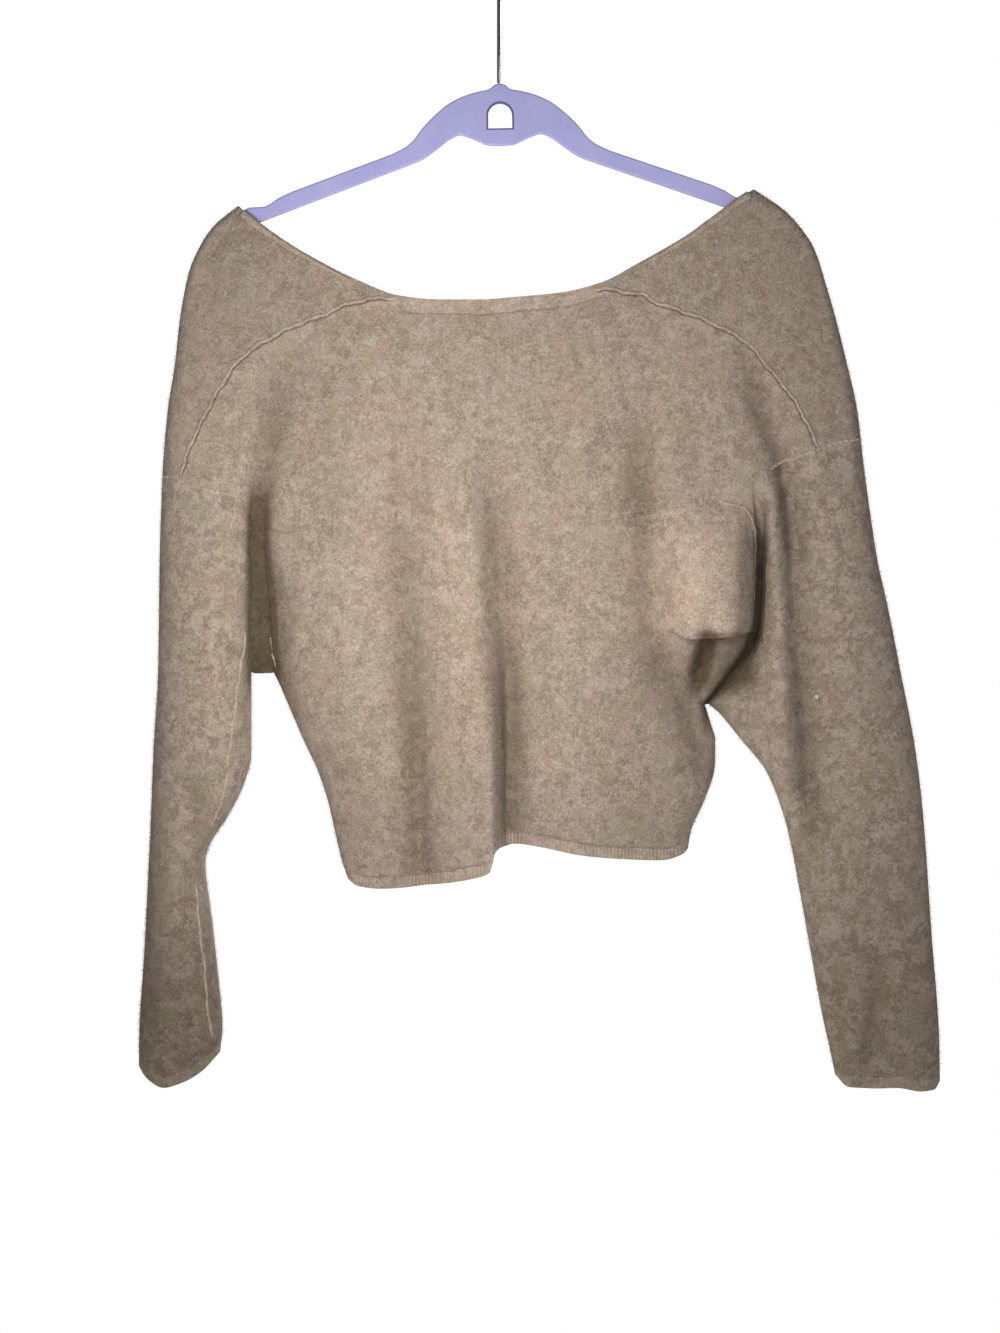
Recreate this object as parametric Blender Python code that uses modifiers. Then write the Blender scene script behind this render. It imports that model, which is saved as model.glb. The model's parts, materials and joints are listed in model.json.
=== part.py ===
"""Cropped felted knit sweater hanging on a slim hanger.

Metres, +Z up. The origin is the underside of the hook's crown, where a rail touches it.
The back of the sweater faces -Y. Heights are given as drops: metres below the origin.
"""

import math

import bmesh
import bpy
import numpy as np
from mathutils import Matrix

# ---------------------------------------------------------------- driving sizes
WALL = 0.0018  # felted knit
SEAM_GAP = 0.0003
HEM_DEPTH = 0.009
CUFF_DEPTH = 0.008
NECK_DEPTH = 0.0115
CHEST = 0.355  # drop of the level line across the chest
LEFT_CROTCH = 0.530  # drop where the left sleeve parts from the body
RIGHT_CROTCH = 0.5528
EDGE_REACH = 0.070  # how far in from a fold line the cloth takes to reach its full depth
WELD = 0.0003  # cut points nearer than this become one
RIM_ORDER = (1.0, 0.2, 0.45)  # both sides of a seam split their rims along this direction
SNAP = 0.28  # share of a cell's size within which a point is moved onto a seam
SHARP = math.radians(50)

UPPER_ROWS = 7
MIDDLE_ROWS = 14
BODY_ROWS = 8
SLEEVE_ROWS = 15
SLEEVE_COLUMNS = 9
WEB_COLUMNS = 2
BODY_COLUMNS = 26
LEDGE_ROWS_AT = 0.765  # share of the middle rows where they crowd round the lobe's ledge
MIDDLE_FOLD_AT = 0.51  # share of the body's width where the sharp fold crosses the crotch line
MIDDLE_FOLD_REACH = 0.045
MIDDLE_FOLD_LEAN = 0.075  # how far it has moved left by the hem

# Superellipse powers of the cross-sections: 2 is an ellipse, more is fuller.
SLEEVE_FULLNESS = 2.2
BODY_FULLNESS = 2.4
FOLD_FULLNESS = 2.6  # how folds die out towards the edges of a strip
# Distance in from an outer fold line over which folds grow to their full height.
BODY_FADE = 0.03
SLEEVE_FADE = 0.02

HANGER_THICK = 0.005
HANGER_TILT = math.radians(1.0)
HANGER_MIDDLE = 0.0004  # x of the hook's shank
WIRE_RADIUS = 0.0015
HOOK_RADIUS = 0.020  # inside the crown


def table(names, *rows):
    """Named columns from rows of numbers."""
    return dict(zip(names.split(), np.array(rows, float).T))


# The two outer fold lines, shoulder tip to cuff.
LEFT_OUTLINE = table(
    "drop x",
    (0.1857, -0.1924), (0.1907, -0.2000), (0.2031, -0.2127), (0.2173, -0.2216),
    (0.2346, -0.2287), (0.2694, -0.2353), (0.3027, -0.2390), (0.3360, -0.2442),
    (0.3804, -0.2479), (0.4470, -0.2500), (0.5247, -0.2509), (0.5913, -0.2546),
    (0.6579, -0.2568), (0.7356, -0.2605), (0.7948, -0.2642), (0.8184, -0.2645),
)
RIGHT_OUTLINE = table(
    "drop x",
    (0.1736, 0.1883), (0.1791, 0.1962), (0.1864, 0.2079), (0.1971, 0.2189),
    (0.2168, 0.2324), (0.2464, 0.2420), (0.2694, 0.2486), (0.3027, 0.2568),
    (0.3360, 0.2642), (0.3804, 0.2694), (0.4470, 0.2790), (0.4803, 0.2864),
    (0.5247, 0.2953), (0.5913, 0.3078), (0.6357, 0.3130), (0.7245, 0.3197),
    (0.8022, 0.3256), (0.8318, 0.3262),
)
# Inner edges of the sleeves and the two side edges of the body, below the crotches.
LEFT_INNER = table(
    "drop x",
    (0.5300, -0.1843), (0.5913, -0.1843), (0.6135, -0.1902), (0.6357, -0.2013),
    (0.6579, -0.2153), (0.6690, -0.2183), (0.7134, -0.2131), (0.7578, -0.2079),
    (0.7911, -0.2050), (0.8096, -0.2065),
)
RIGHT_INNER = table(
    "drop x",
    (0.5528, 0.1554), (0.5580, 0.1621), (0.5691, 0.1717), (0.5802, 0.1806),
    (0.5913, 0.1902), (0.6024, 0.1983), (0.6246, 0.2079), (0.6468, 0.2146),
    (0.6912, 0.2235), (0.7356, 0.2316), (0.7800, 0.2398), (0.8170, 0.2479),
    (0.8280, 0.2500),
)
BODY_LEFT = table(
    "drop x",
    (0.5300, -0.1658), (0.5358, -0.1628), (0.5580, -0.1532), (0.5802, -0.1436),
    (0.6024, -0.1332), (0.6246, -0.1258), (0.6468, -0.1206), (0.6690, -0.1154),
    (0.6815, -0.1112),
)
BODY_RIGHT = table(
    "drop x",
    (0.5528, 0.1510), (0.5691, 0.1561), (0.5802, 0.1591), (0.5950, 0.1591),
    (0.6024, 0.1584), (0.6246, 0.1510), (0.6468, 0.1413), (0.6593, 0.1391),
)
# The tucks under the arms: the sleeve's edge, the seam in the tuck, the body's edge.
LEFT_TUCK = table(
    "drop sleeve seam body",
    (0.3550, -0.1709, -0.1665, -0.1610), (0.3804, -0.1783, -0.1732, -0.1665),
    (0.4026, -0.1820, -0.1769, -0.1709), (0.4322, -0.1835, -0.1783, -0.1724),
    (0.4766, -0.1839, -0.1757, -0.1695), (0.5300, -0.1843, -0.1739, -0.1658),
)
RIGHT_TUCK = table(
    "drop body seam sleeve",
    (0.3550, 0.1872, 0.1931, 0.1991), (0.3804, 0.1857, 0.1909, 0.1961),
    (0.4026, 0.1865, 0.1909, 0.1954), (0.4322, 0.1880, 0.1917, 0.1954),
    (0.4692, 0.1872, 0.1909, 0.1946), (0.5025, 0.1840, 0.1876, 0.1911),
    (0.5313, 0.1684, 0.1720, 0.1761), (0.5528, 0.1510, 0.1532, 0.1554),
)
# Free edges, across the garment.
BACK_NECK = table(
    "x drop",
    (-0.1924, 0.1857), (-0.1806, 0.1961), (-0.1621, 0.2094), (-0.1325, 0.2272),
    (-0.1029, 0.2420), (-0.0733, 0.2531), (-0.0437, 0.2560), (-0.0141, 0.2560),
    (0.0155, 0.2538), (0.0451, 0.2509), (0.0747, 0.2435), (0.1043, 0.2279),
    (0.1339, 0.2109), (0.1635, 0.1902), (0.1783, 0.1791), (0.1883, 0.1736),
)
FRONT_NECK = table(
    "x drop",
    (-0.1924, 0.1857), (-0.1700, 0.2140), (-0.1400, 0.2500), (-0.0950, 0.2860),
    (-0.0400, 0.3020), (0.0250, 0.3010), (0.0850, 0.2830), (0.1350, 0.2420),
    (0.1650, 0.2040), (0.1883, 0.1736),
)
BACK_HEM = table(
    "x drop",
    (-0.1112, 0.6815), (-0.1029, 0.6867), (-0.0881, 0.6882), (-0.0733, 0.6875),
    (-0.0437, 0.6845), (-0.0141, 0.6786), (-0.0060, 0.6745), (0.0010, 0.6580),
    (0.0155, 0.6556), (0.0303, 0.6571), (0.0599, 0.6630), (0.0895, 0.6660),
    (0.1191, 0.6675), (0.1339, 0.6638), (0.1391, 0.6593),
)
FRONT_HEM = table(
    "x drop",
    (-0.1112, 0.6815), (-0.0950, 0.6840), (-0.0400, 0.6760), (0.0300, 0.6550),
    (0.0900, 0.6570), (0.1300, 0.6610), (0.1391, 0.6593),
)
LEFT_CUFF = table(
    "x drop",
    (-0.2645, 0.8184), (-0.2568, 0.8273), (-0.2449, 0.8332), (-0.2316, 0.8295),
    (-0.2176, 0.8214), (-0.2065, 0.8096),
)
RIGHT_CUFF = table(
    "x drop",
    (0.2500, 0.8280), (0.2583, 0.8362), (0.2745, 0.8369), (0.2930, 0.8362),
    (0.3115, 0.8392), (0.3210, 0.8384), (0.3262, 0.8318),
)
# Seams, seen from the back. The front is sewn on the same lines.
YOKE_LEFT = table(
    "x drop",
    (-0.0560, 0.2480), (-0.0733, 0.2542), (-0.0844, 0.2553), (-0.0948, 0.2559),
    (-0.1095, 0.2582), (-0.1199, 0.2620), (-0.1295, 0.2680), (-0.1470, 0.2742),
    (-0.1620, 0.2804), (-0.1894, 0.3004), (-0.2065, 0.3226), (-0.2176, 0.3463),
    (-0.2287, 0.3678), (-0.2346, 0.3878), (-0.2370, 0.4000),
)
YOKE_RIGHT = table(
    "x drop",
    (0.0500, 0.2440), (0.0614, 0.2484), (0.0755, 0.2484), (0.0962, 0.2507),
    (0.1078, 0.2520), (0.1115, 0.2555), (0.1200, 0.2602), (0.1342, 0.2649),
    (0.1512, 0.2705), (0.1719, 0.2814), (0.1865, 0.2923), (0.2013, 0.3093),
    (0.2146, 0.3286), (0.2257, 0.3463), (0.2353, 0.3678), (0.2390, 0.3790),
)
ARMHOLE_LEFT_TOP = table(
    "x drop",
    (-0.2620, 0.3848), (-0.2472, 0.3863), (-0.2346, 0.3885), (-0.2287, 0.3922),
    (-0.2153, 0.3959), (-0.1983, 0.4003), (-0.1894, 0.4048), (-0.1830, 0.4140),
    (-0.1795, 0.4250),
)
ARMHOLE_RIGHT_TOP = table(
    "x drop",
    (0.2830, 0.3530), (0.2649, 0.3582), (0.2472, 0.3620), (0.2316, 0.3678),
    (0.2116, 0.3744), (0.2005, 0.3800), (0.1940, 0.3890), (0.1915, 0.4000),
)
SEAM_LEAVES_TOP = 0.4322  # drop below which an armhole seam runs down its tuck

# Half depths of the hanging cloth: back and front of the body, then of each sleeve.
DEPTH = table(
    "drop back front left_back left_front right_back right_front fold",
    (0.170, 0.008, 0.008, 0.010, 0.010, 0.010, 0.010, 0.0042),
    (0.215, 0.010, 0.010, 0.012, 0.012, 0.012, 0.012, 0.0048),
    (0.260, 0.014, 0.013, 0.016, 0.015, 0.015, 0.015, 0.0065),
    (0.300, 0.018, 0.016, 0.019, 0.018, 0.018, 0.017, 0.0085),
    (0.355, 0.022, 0.019, 0.022, 0.021, 0.021, 0.019, 0.0110),
    (0.450, 0.029, 0.024, 0.027, 0.026, 0.023, 0.021, 0.0140),
    (0.540, 0.034, 0.029, 0.030, 0.029, 0.023, 0.021, 0.0140),
    (0.610, 0.036, 0.032, 0.032, 0.031, 0.021, 0.019, 0.0140),
    (0.680, 0.036, 0.033, 0.033, 0.032, 0.019, 0.017, 0.0140),
    (0.740, 0.036, 0.033, 0.029, 0.028, 0.017, 0.015, 0.0140),
    (0.840, 0.036, 0.033, 0.022, 0.022, 0.014, 0.013, 0.0140),
)
# How far each tuck has closed, and the half depth left in it.
TUCKING = table(
    "drop left left_floor right right_floor",
    (0.340, 0.00, 0.020, 0.00, 0.020), (0.365, 0.12, 0.017, 0.12, 0.017),
    (0.385, 0.38, 0.013, 0.40, 0.012), (0.410, 0.72, 0.009, 0.78, 0.0085),
    (0.440, 0.93, 0.0060, 0.95, 0.0058), (0.475, 1.00, 0.0048, 1.00, 0.0045),
    (0.515, 1.00, 0.0042, 1.00, 0.0042),
    (0.530, 1.00, 0.0000, 1.00, 0.0040), (0.5528, 1.00, 0.0000, 1.00, 0.0000),
)
# Long soft folds: where each starts and ends, how wide it is on each side, and its
# height (+ ridge, - trough). Back folds first, then front ones.
FOLDS = "x drop end_x end_drop left right height"
BACK_FOLDS = table(
    FOLDS,
    (-0.138, 0.280, -0.164, 0.450, 0.024, 0.022, -0.0055),
    (-0.077, 0.330, -0.070, 0.560, 0.018, 0.020, -0.0060),
    (-0.070, 0.540, -0.052, 0.720, 0.018, 0.016, -0.0080),
    (-0.014, 0.430, -0.010, 0.720, 0.042, 0.0085, 0.0150),
    (0.012, 0.360, 0.016, 0.580, 0.016, 0.020, -0.0050),
    (0.011, 0.560, 0.010, 0.720, 0.010, 0.020, -0.0090),
    (0.062, 0.400, 0.064, 0.720, 0.026, 0.030, 0.0045),
    (0.112, 0.300, 0.104, 0.560, 0.016, 0.013, -0.0070),
    (0.108, 0.560, 0.112, 0.700, 0.020, 0.018, -0.0040),
    (-0.118, 0.430, -0.096, 0.640, 0.020, 0.024, 0.0050),
)
FRONT_FOLDS = table(
    FOLDS,
    (-0.120, 0.330, -0.092, 0.700, 0.022, 0.026, -0.0070),
    (-0.040, 0.360, -0.034, 0.720, 0.024, 0.018, 0.0080),
    (0.004, 0.340, -0.002, 0.720, 0.018, 0.020, -0.0080),
    (0.050, 0.400, 0.058, 0.720, 0.026, 0.022, 0.0070),
    (0.104, 0.310, 0.098, 0.680, 0.018, 0.024, -0.0080),
    (0.150, 0.400, 0.140, 0.560, 0.022, 0.020, 0.0060),
)
LEFT_SLEEVE_FOLDS = table(
    FOLDS,
    (-0.236, 0.600, -0.200, 0.655, 0.011, 0.011, -0.0050),
    (-0.208, 0.400, -0.206, 0.560, 0.012, 0.012, 0.0030),
)
RIGHT_SLEEVE_FOLDS = table(
    FOLDS,
    (0.2020, 0.350, 0.2160, 0.600, 0.008, 0.008, 0.0050),
    (0.2110, 0.340, 0.2330, 0.600, 0.009, 0.012, -0.0070),
    (0.2400, 0.640, 0.2500, 0.760, 0.014, 0.014, 0.0030),
)
# The full lobe over the right tuck, cut off below by a ledge, and the pocket under it.
LOBE = dict(
    x=0.157, half_width=0.038, top=0.385, full=0.470, ledge=0.503, fall=0.009, height=0.015
)
# The lobe's lower edge hangs over the ledge.
SAG = dict(x=0.154, half_width=0.030, above=0.035, by=0.007)
POCKET = dict(x=0.1500, drop=0.520, half_width=0.010, half_height=0.028, depth=0.010)
# The sleeves' middle planes drift forwards or back as they hang.
LEFT_SWING = dict(top=0.56, bottom=0.82, by=-0.007)
RIGHT_SWING = dict(top=0.60, bottom=0.83, by=0.005)

FELT = (0.335, 0.270, 0.215)
FELT_EDGE = (0.360, 0.285, 0.225)
LILAC = (0.42, 0.40, 0.72)
CHROME = (0.62, 0.62, 0.64)


# ---------------------------------------------------------------- curves
def smooth(knots, values, at):
    """Cubic through the knots with no overshoot, held level past both ends."""
    step = np.diff(knots)
    slope = np.diff(values) / step
    tangent = np.empty(len(knots))
    tangent[0], tangent[-1] = slope[0], slope[-1]
    same = slope[:-1] * slope[1:] > 0
    safe = np.where(same, slope[:-1] * slope[1:], 1.0)
    total = slope[:-1] + slope[1:]
    tangent[1:-1] = np.where(same, 2 * safe / np.where(same, total, 1.0), 0.0)
    i = np.clip(np.searchsorted(knots, at) - 1, 0, len(knots) - 2)
    t = np.clip((at - knots[i]) / step[i], 0, 1)
    ease = t * t * (3 - 2 * t)
    lift = step[i] * (t * (1 - t) ** 2 * tangent[i] - t * t * (1 - t) * tangent[i + 1])
    return values[i] * (1 - ease) + values[i + 1] * ease + lift


def read(rows, column, at, by="drop"):
    return smooth(rows[by], rows[column], np.asarray(at, float))


def ramp(low, high, value):
    t = np.clip((value - low) / (high - low), 0, 1)
    return t * t * (3 - 2 * t)


def crowded(count, places, strength=5.0, reach=0.05):
    """Shares from 0 to 1 in count steps, closer together near each place."""
    fine = np.linspace(0, 1, 2001)
    density = 1 + sum(strength * np.exp(-((fine - place) / reach) ** 2) for place in places)
    total = np.concatenate([[0], np.cumsum((density[1:] + density[:-1]) / 2)])
    return np.interp(np.linspace(0, total[-1], count + 1), total, fine)


def dome(share, power):
    """0 at both ends of the share, 1 half way: a superellipse."""
    return (1 - np.abs(2 * share - 1) ** power) ** (1 / power)


def coons(top, bottom, left, right, share, fall):
    """Points (x, drop) of the patch between four edge curves, which are functions."""
    corner = [top(0.0), top(1.0), bottom(0.0), bottom(1.0)]
    s, t = share[..., None], fall[..., None]
    ruled = (1 - t) * top(share) + t * bottom(share) + (1 - s) * left(fall) + s * right(fall)
    flat = (1 - t) * ((1 - s) * corner[0] + s * corner[1])
    return ruled - flat - t * ((1 - s) * corner[2] + s * corner[3])


def across(rows):
    """Edge curve that runs from side to side, from a table of x and drop."""

    def curve(share):
        x = rows["x"][0] + (rows["x"][-1] - rows["x"][0]) * np.asarray(share)
        return np.stack([x, read(rows, "drop", x, by="x")], axis=-1)

    return curve


def down(rows, start, end):
    """Edge curve that runs down, from a table of drop and x."""

    def curve(share):
        drop = start + (end - start) * np.asarray(share)
        return np.stack([read(rows, "x", drop), drop], axis=-1)

    return curve


def level(left, right):
    """Straight edge curve between two points, eased at its ends."""

    def curve(share):
        share = np.asarray(share)
        x = left[0] + (right[0] - left[0]) * share
        return np.stack([x, left[1] + (right[1] - left[1]) * ramp(0, 1, share)], axis=-1)

    return curve


def polyline_distance(x, drop, line):
    """Distance to a line of points, positive on its left as it runs, and the nearest point."""
    start, end = line[:-1], line[1:]
    run = end - start
    point = np.stack([x, drop], axis=-1)[..., None, :]
    share = ((point - start) * run).sum(-1) / (run**2).sum(-1)
    nearest = start + np.clip(share, 0, 1)[..., None] * run
    away = point - nearest
    length = np.hypot(away[..., 0], away[..., 1])
    pick = length.argmin(-1)[..., None]
    side = np.sign(run[..., 0] * away[..., 1] - run[..., 1] * away[..., 0])
    side = np.take_along_axis(side, pick, -1)[..., 0]
    best = np.take_along_axis(nearest, pick[..., None], -2)[..., 0, :]
    return side * np.take_along_axis(length, pick, -1)[..., 0], best


def rounded(rows, count=60):
    x = rows["x"]
    along = np.concatenate([[0], np.cumsum(np.hypot(np.diff(x), np.diff(rows["drop"])))])
    at = np.linspace(0, along[-1], count)
    return np.stack([smooth(along, x, at), smooth(along, rows["drop"], at)], axis=-1)


def tuck_line(tuck):
    drop = np.linspace(SEAM_LEAVES_TOP, tuck["drop"][-1], 24)
    line = np.stack([read(tuck, "seam", drop), drop], axis=-1)
    return np.vstack([line, line[-1] + (0, 0.03)])


SEAMS = {
    "yoke_left": rounded(YOKE_LEFT),
    "yoke_right": rounded(YOKE_RIGHT)[::-1],
    "arm_left": np.vstack([rounded(ARMHOLE_LEFT_TOP), tuck_line(LEFT_TUCK)]),
    "arm_right": np.vstack([rounded(ARMHOLE_RIGHT_TOP), tuck_line(RIGHT_TUCK)])[::-1],
}


# ---------------------------------------------------------------- depth of the cloth
def ridges(rows, x, drop):
    total = np.zeros_like(x)
    for i in range(len(rows["x"])):
        span = rows["end_drop"][i] - rows["drop"][i]
        share = (drop - rows["drop"][i]) / span
        off = x - rows["x"][i] - (rows["end_x"][i] - rows["x"][i]) * share
        width = np.where(off < 0, rows["left"][i], rows["right"][i])
        fade = ramp(0, 0.35, share) * ramp(0, 0.25, 1 - share)
        total += rows["height"][i] * fade * np.exp(-((off / width) ** 2))
    return total


def lobe(x, drop):
    """The full lobe over the right tuck, with the ledge and pocket under it."""
    sideways = np.exp(-(((x - LOBE["x"]) / LOBE["half_width"]) ** 4))
    lengthways = ramp(LOBE["top"], LOBE["full"], drop)
    lengthways = lengthways * (1 - ramp(LOBE["ledge"], LOBE["ledge"] + LOBE["fall"], drop))
    off_x = (x - POCKET["x"]) / POCKET["half_width"]
    off_drop = (drop - POCKET["drop"]) / POCKET["half_height"]
    hollow = np.exp(-(off_x**2) - off_drop**2)
    return LOBE["height"] * sideways * lengthways - POCKET["depth"] * hollow


def sag(x, drop):
    """How far a point of the back is pulled down where the lobe hangs over its ledge."""
    sideways = np.exp(-(((x - SAG["x"]) / SAG["half_width"]) ** 4))
    above = ramp(LOBE["ledge"] - SAG["above"], LOBE["ledge"] - 0.002, drop)
    below = 1 - ramp(LOBE["ledge"] + 0.001, LOBE["ledge"] + LOBE["fall"], drop)
    return SAG["by"] * sideways * above * below


def from_outline(x, drop):
    """Distance in from the nearer outer fold line."""
    lines = []
    for rows in (LEFT_OUTLINE, RIGHT_OUTLINE):
        at = np.linspace(rows["drop"][0], rows["drop"][-1], 90)
        lines.append(np.abs(polyline_distance(x, drop, np.stack([read(rows, "x", at), at], -1))[0]))
    return np.minimum(*lines)


def rise(distance, fold, full):
    """Half depth at a distance from a fold line: a round fold, then a slow swell."""
    near = np.clip(distance / fold, 0, 1)
    far = np.clip(distance / EDGE_REACH, 0, 1)
    return fold * np.sqrt(1 - (1 - near) ** 2) + (full - fold) * (1 - (1 - far) ** 2)


def shoulder_depth(side, strip, share, x, drop):
    """Half depth above the crotches, where sleeves and body are one cloth."""
    full = read(DEPTH, side, drop)
    fold = read(DEPTH, "fold", drop)
    distance = from_outline(x, drop)
    open_depth = rise(distance, fold, full)
    closing = {part: read(TUCKING, part, drop) for part in ("left", "right")}
    floor = {part: read(TUCKING, part + "_floor", drop) for part in ("left", "right")}
    depth = open_depth
    for part, sleeve, web, toward in (("left", 0, 1, 1 - share), ("right", 4, 3, share)):
        k, low = closing[part], floor[part]
        crown = read(DEPTH, f"{part}_{side}", drop)
        inner = 1 - toward
        closed = low * inner + (crown - low * inner) * dome(share, SLEEVE_FULLNESS)
        depth = np.where(strip == sleeve, (1 - k) * open_depth + k * closed, depth)
        depth = np.where(strip == web, (1 - k) * open_depth + k * low, depth)
    body = strip == 2
    for part, from_tuck in (("left", share), ("right", 1 - share)):
        dip = closing[part] * (1 - dome(np.minimum(from_tuck, 0.5), BODY_FULLNESS))
        depth = np.where(body, depth - dip * (open_depth - floor[part]), depth)
    body_ease = np.clip(distance / BODY_FADE, 0, 1) * dome(share, FOLD_FULLNESS) * body
    sleeve_ease = np.clip(distance / SLEEVE_FADE, 0, 1) * dome(share, FOLD_FULLNESS)
    folds = ridges(BACK_FOLDS if side == "back" else FRONT_FOLDS, x, drop) * body_ease
    folds = folds + ridges(LEFT_SLEEVE_FOLDS, x, drop) * sleeve_ease * (strip == 0)
    folds = folds + ridges(RIGHT_SLEEVE_FOLDS, x, drop) * sleeve_ease * (strip == 4)
    if side == "back":
        folds = folds + lobe(x, drop) * dome(share, FOLD_FULLNESS) * body
    return depth + folds


def tube_depth(side, part, share, x, drop):
    """Half depth of a closed tube below the crotches."""
    column = side if part == "body" else f"{part}_{side}"
    fullness = BODY_FULLNESS if part == "body" else SLEEVE_FULLNESS
    depth = read(DEPTH, column, drop) * dome(share, fullness)
    if part == "body":
        folds = ridges(BACK_FOLDS if side == "back" else FRONT_FOLDS, x, drop)
        if side == "back":
            folds = folds + lobe(x, drop)
    else:
        folds = ridges(LEFT_SLEEVE_FOLDS if part == "left" else RIGHT_SLEEVE_FOLDS, x, drop)
    return depth + folds * dome(share, FOLD_FULLNESS)


def swing(x, drop):
    """How far the sleeves' middle planes lie from the body's, which is y = 0."""
    left = ramp(LEFT_SWING["top"], LEFT_SWING["bottom"], drop) * (x < LEFT_TUCK["sleeve"][0])
    right = ramp(RIGHT_SWING["top"], RIGHT_SWING["bottom"], drop) * (x > -LEFT_TUCK["sleeve"][0])
    return LEFT_SWING["by"] * left + RIGHT_SWING["by"] * right


# ---------------------------------------------------------------- the whole cloth as grids
def smaller_step(x, drop, axis):
    """At each point of a grid, the distance to the nearer of its two neighbours on an axis."""
    step = np.hypot(np.diff(x, axis=axis), np.diff(drop, axis=axis))
    before, after = [(0, 0), (0, 0)], [(0, 0), (0, 0)]
    before[axis], after[axis] = (1, 0), (0, 1)
    return np.minimum(np.pad(step, before, mode="edge"), np.pad(step, after, mode="edge"))


def snapped(x, drop):
    """Moves points that lie close to a seam onto it, so that cutting there leaves no slivers."""
    reach = smaller_step(x, drop, 0)
    reach[:, 1:-1] = np.minimum(reach, smaller_step(x, drop, 1))[:, 1:-1]
    for line in SEAMS.values():
        distance, nearest = polyline_distance(x, drop, line)
        close = np.abs(distance) < SNAP * reach
        x = np.where(close, nearest[..., 0], x)
        drop = np.where(close, nearest[..., 1], drop)
    return x, drop


def body_columns():
    """Shares across the body, closer together at its edges and at the sharp middle fold."""
    edges = crowded(BODY_COLUMNS, (0, 1), 4.0, 0.03)
    even = np.linspace(0, 1, BODY_COLUMNS + 1)
    at = float(np.interp(MIDDLE_FOLD_AT, edges, even))
    return np.interp(crowded(BODY_COLUMNS, (at,), 2.0, MIDDLE_FOLD_REACH), even, edges)


def shoulder_grid(side):
    """Neck to crotches: rows of points across both sleeves and the body."""
    ends = crowded(SLEEVE_COLUMNS, (0, 1))
    shares = [ends, np.linspace(0, 1, WEB_COLUMNS + 1), body_columns()]
    shares += [shares[1], ends]
    strip = np.concatenate([np.full(len(s) - (i < 4), i) for i, s in enumerate(shares)])
    share = np.concatenate([s[: len(s) - (i < 4)] for i, s in enumerate(shares)])

    def breaks(left_drop, right_drop):
        marks = [read(LEFT_OUTLINE, "x", left_drop)]
        marks += [read(LEFT_TUCK, name, left_drop) for name in ("sleeve", "seam", "body")]
        marks += [read(RIGHT_TUCK, name, right_drop) for name in ("body", "seam", "sleeve")]
        return marks + [read(RIGHT_OUTLINE, "x", right_drop)]

    def row(left_drop, right_drop):
        marks = breaks(left_drop, right_drop)
        spans = [(0, 1, 1), (1, 2, 3), (3, 4, 4), (4, 5, 6), (6, 7, 7)]
        x = np.empty(len(share))
        for i, (start, middle, end) in enumerate(spans):
            here = strip == i
            s = share[here]
            if i in (1, 3):
                x[here] = np.interp(s, (0, 0.5, 1), (marks[start], marks[middle], marks[end]))
            else:
                x[here] = marks[start] + (marks[end] - marks[start]) * s
        body = np.where(strip == 2, ramp(0, 1, share), strip > 2)
        return x, left_drop + (right_drop - left_drop) * body

    chest_x, _ = row(CHEST, CHEST)
    u = (chest_x - chest_x[0]) / (chest_x[-1] - chest_x[0])
    neck = across(BACK_NECK if side == "back" else FRONT_NECK)
    chest = level((chest_x[0], CHEST), (chest_x[-1], CHEST))
    left = down(LEFT_OUTLINE, LEFT_OUTLINE["drop"][0], CHEST)
    right = down(RIGHT_OUTLINE, RIGHT_OUTLINE["drop"][0], CHEST)
    length = np.linalg.norm(chest(u) - neck(u), axis=-1)
    first = NECK_DEPTH / length
    rows = [np.zeros_like(u)]
    rows += [first + (1 - first) * i / UPPER_ROWS for i in range(UPPER_ROWS + 1)]
    points = [coons(neck, chest, left, right, u, t) for t in rows]
    xs, drops = [p[:, 0] for p in points], [p[:, 1] for p in points]
    for t in crowded(MIDDLE_ROWS, (LEDGE_ROWS_AT, 1.0), 2.0)[1:]:
        x, drop = row(CHEST + (LEFT_CROTCH - CHEST) * t, CHEST + (RIGHT_CROTCH - CHEST) * t)
        xs.append(x)
        drops.append(drop)
    x, drop = snapped(np.array(xs), np.array(drops))
    strip = np.broadcast_to(strip, x.shape)
    share = np.broadcast_to(share, x.shape)
    depth = shoulder_depth(side, strip, share, x, drop)
    depth[:, [0, -1]] = 0
    depth[-1, (strip[-1] == 1) | (strip[-1] == 3)] = 0
    depth[-1, np.searchsorted(strip[-1], (2, 4))] = 0
    if side == "back":
        drop = drop + sag(x, drop) * (strip == 2) * dome(share, 3.0)
    from_neck = np.zeros_like(x)
    from_neck[1:] = np.cumsum(np.hypot(np.diff(x, axis=0), np.diff(drop, axis=0)), axis=0)
    return dict(x=x, drop=drop, depth=depth, start=from_neck, strip=strip[0])


def tube_grid(side, part, top, bottom, left, right, columns, rows, band):
    """Crotch to free edge: rows of points across one tube, the last row of cells being its band."""
    length = np.linalg.norm(bottom(columns) - top(columns), axis=-1)
    last = 1 - band / length
    falls = np.array([last * i / rows for i in range(rows + 1)] + [np.ones_like(columns)])
    lean = MIDDLE_FOLD_LEAN * 4 * columns * (1 - columns) if part == "body" else 0
    share = columns - lean * falls
    points = coons(top, bottom, left, right, share, falls)
    x, drop = points[..., 0], points[..., 1]
    depth = tube_depth(side, part, share, x, drop)
    depth[:, [0, -1]] = 0
    to_end = np.zeros_like(x)
    steps = np.hypot(np.diff(x, axis=0), np.diff(drop, axis=0))
    to_end[:-1] = np.cumsum(steps[::-1], axis=0)[::-1]
    return dict(x=x, drop=drop, depth=depth, end=to_end, strip=None)


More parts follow.
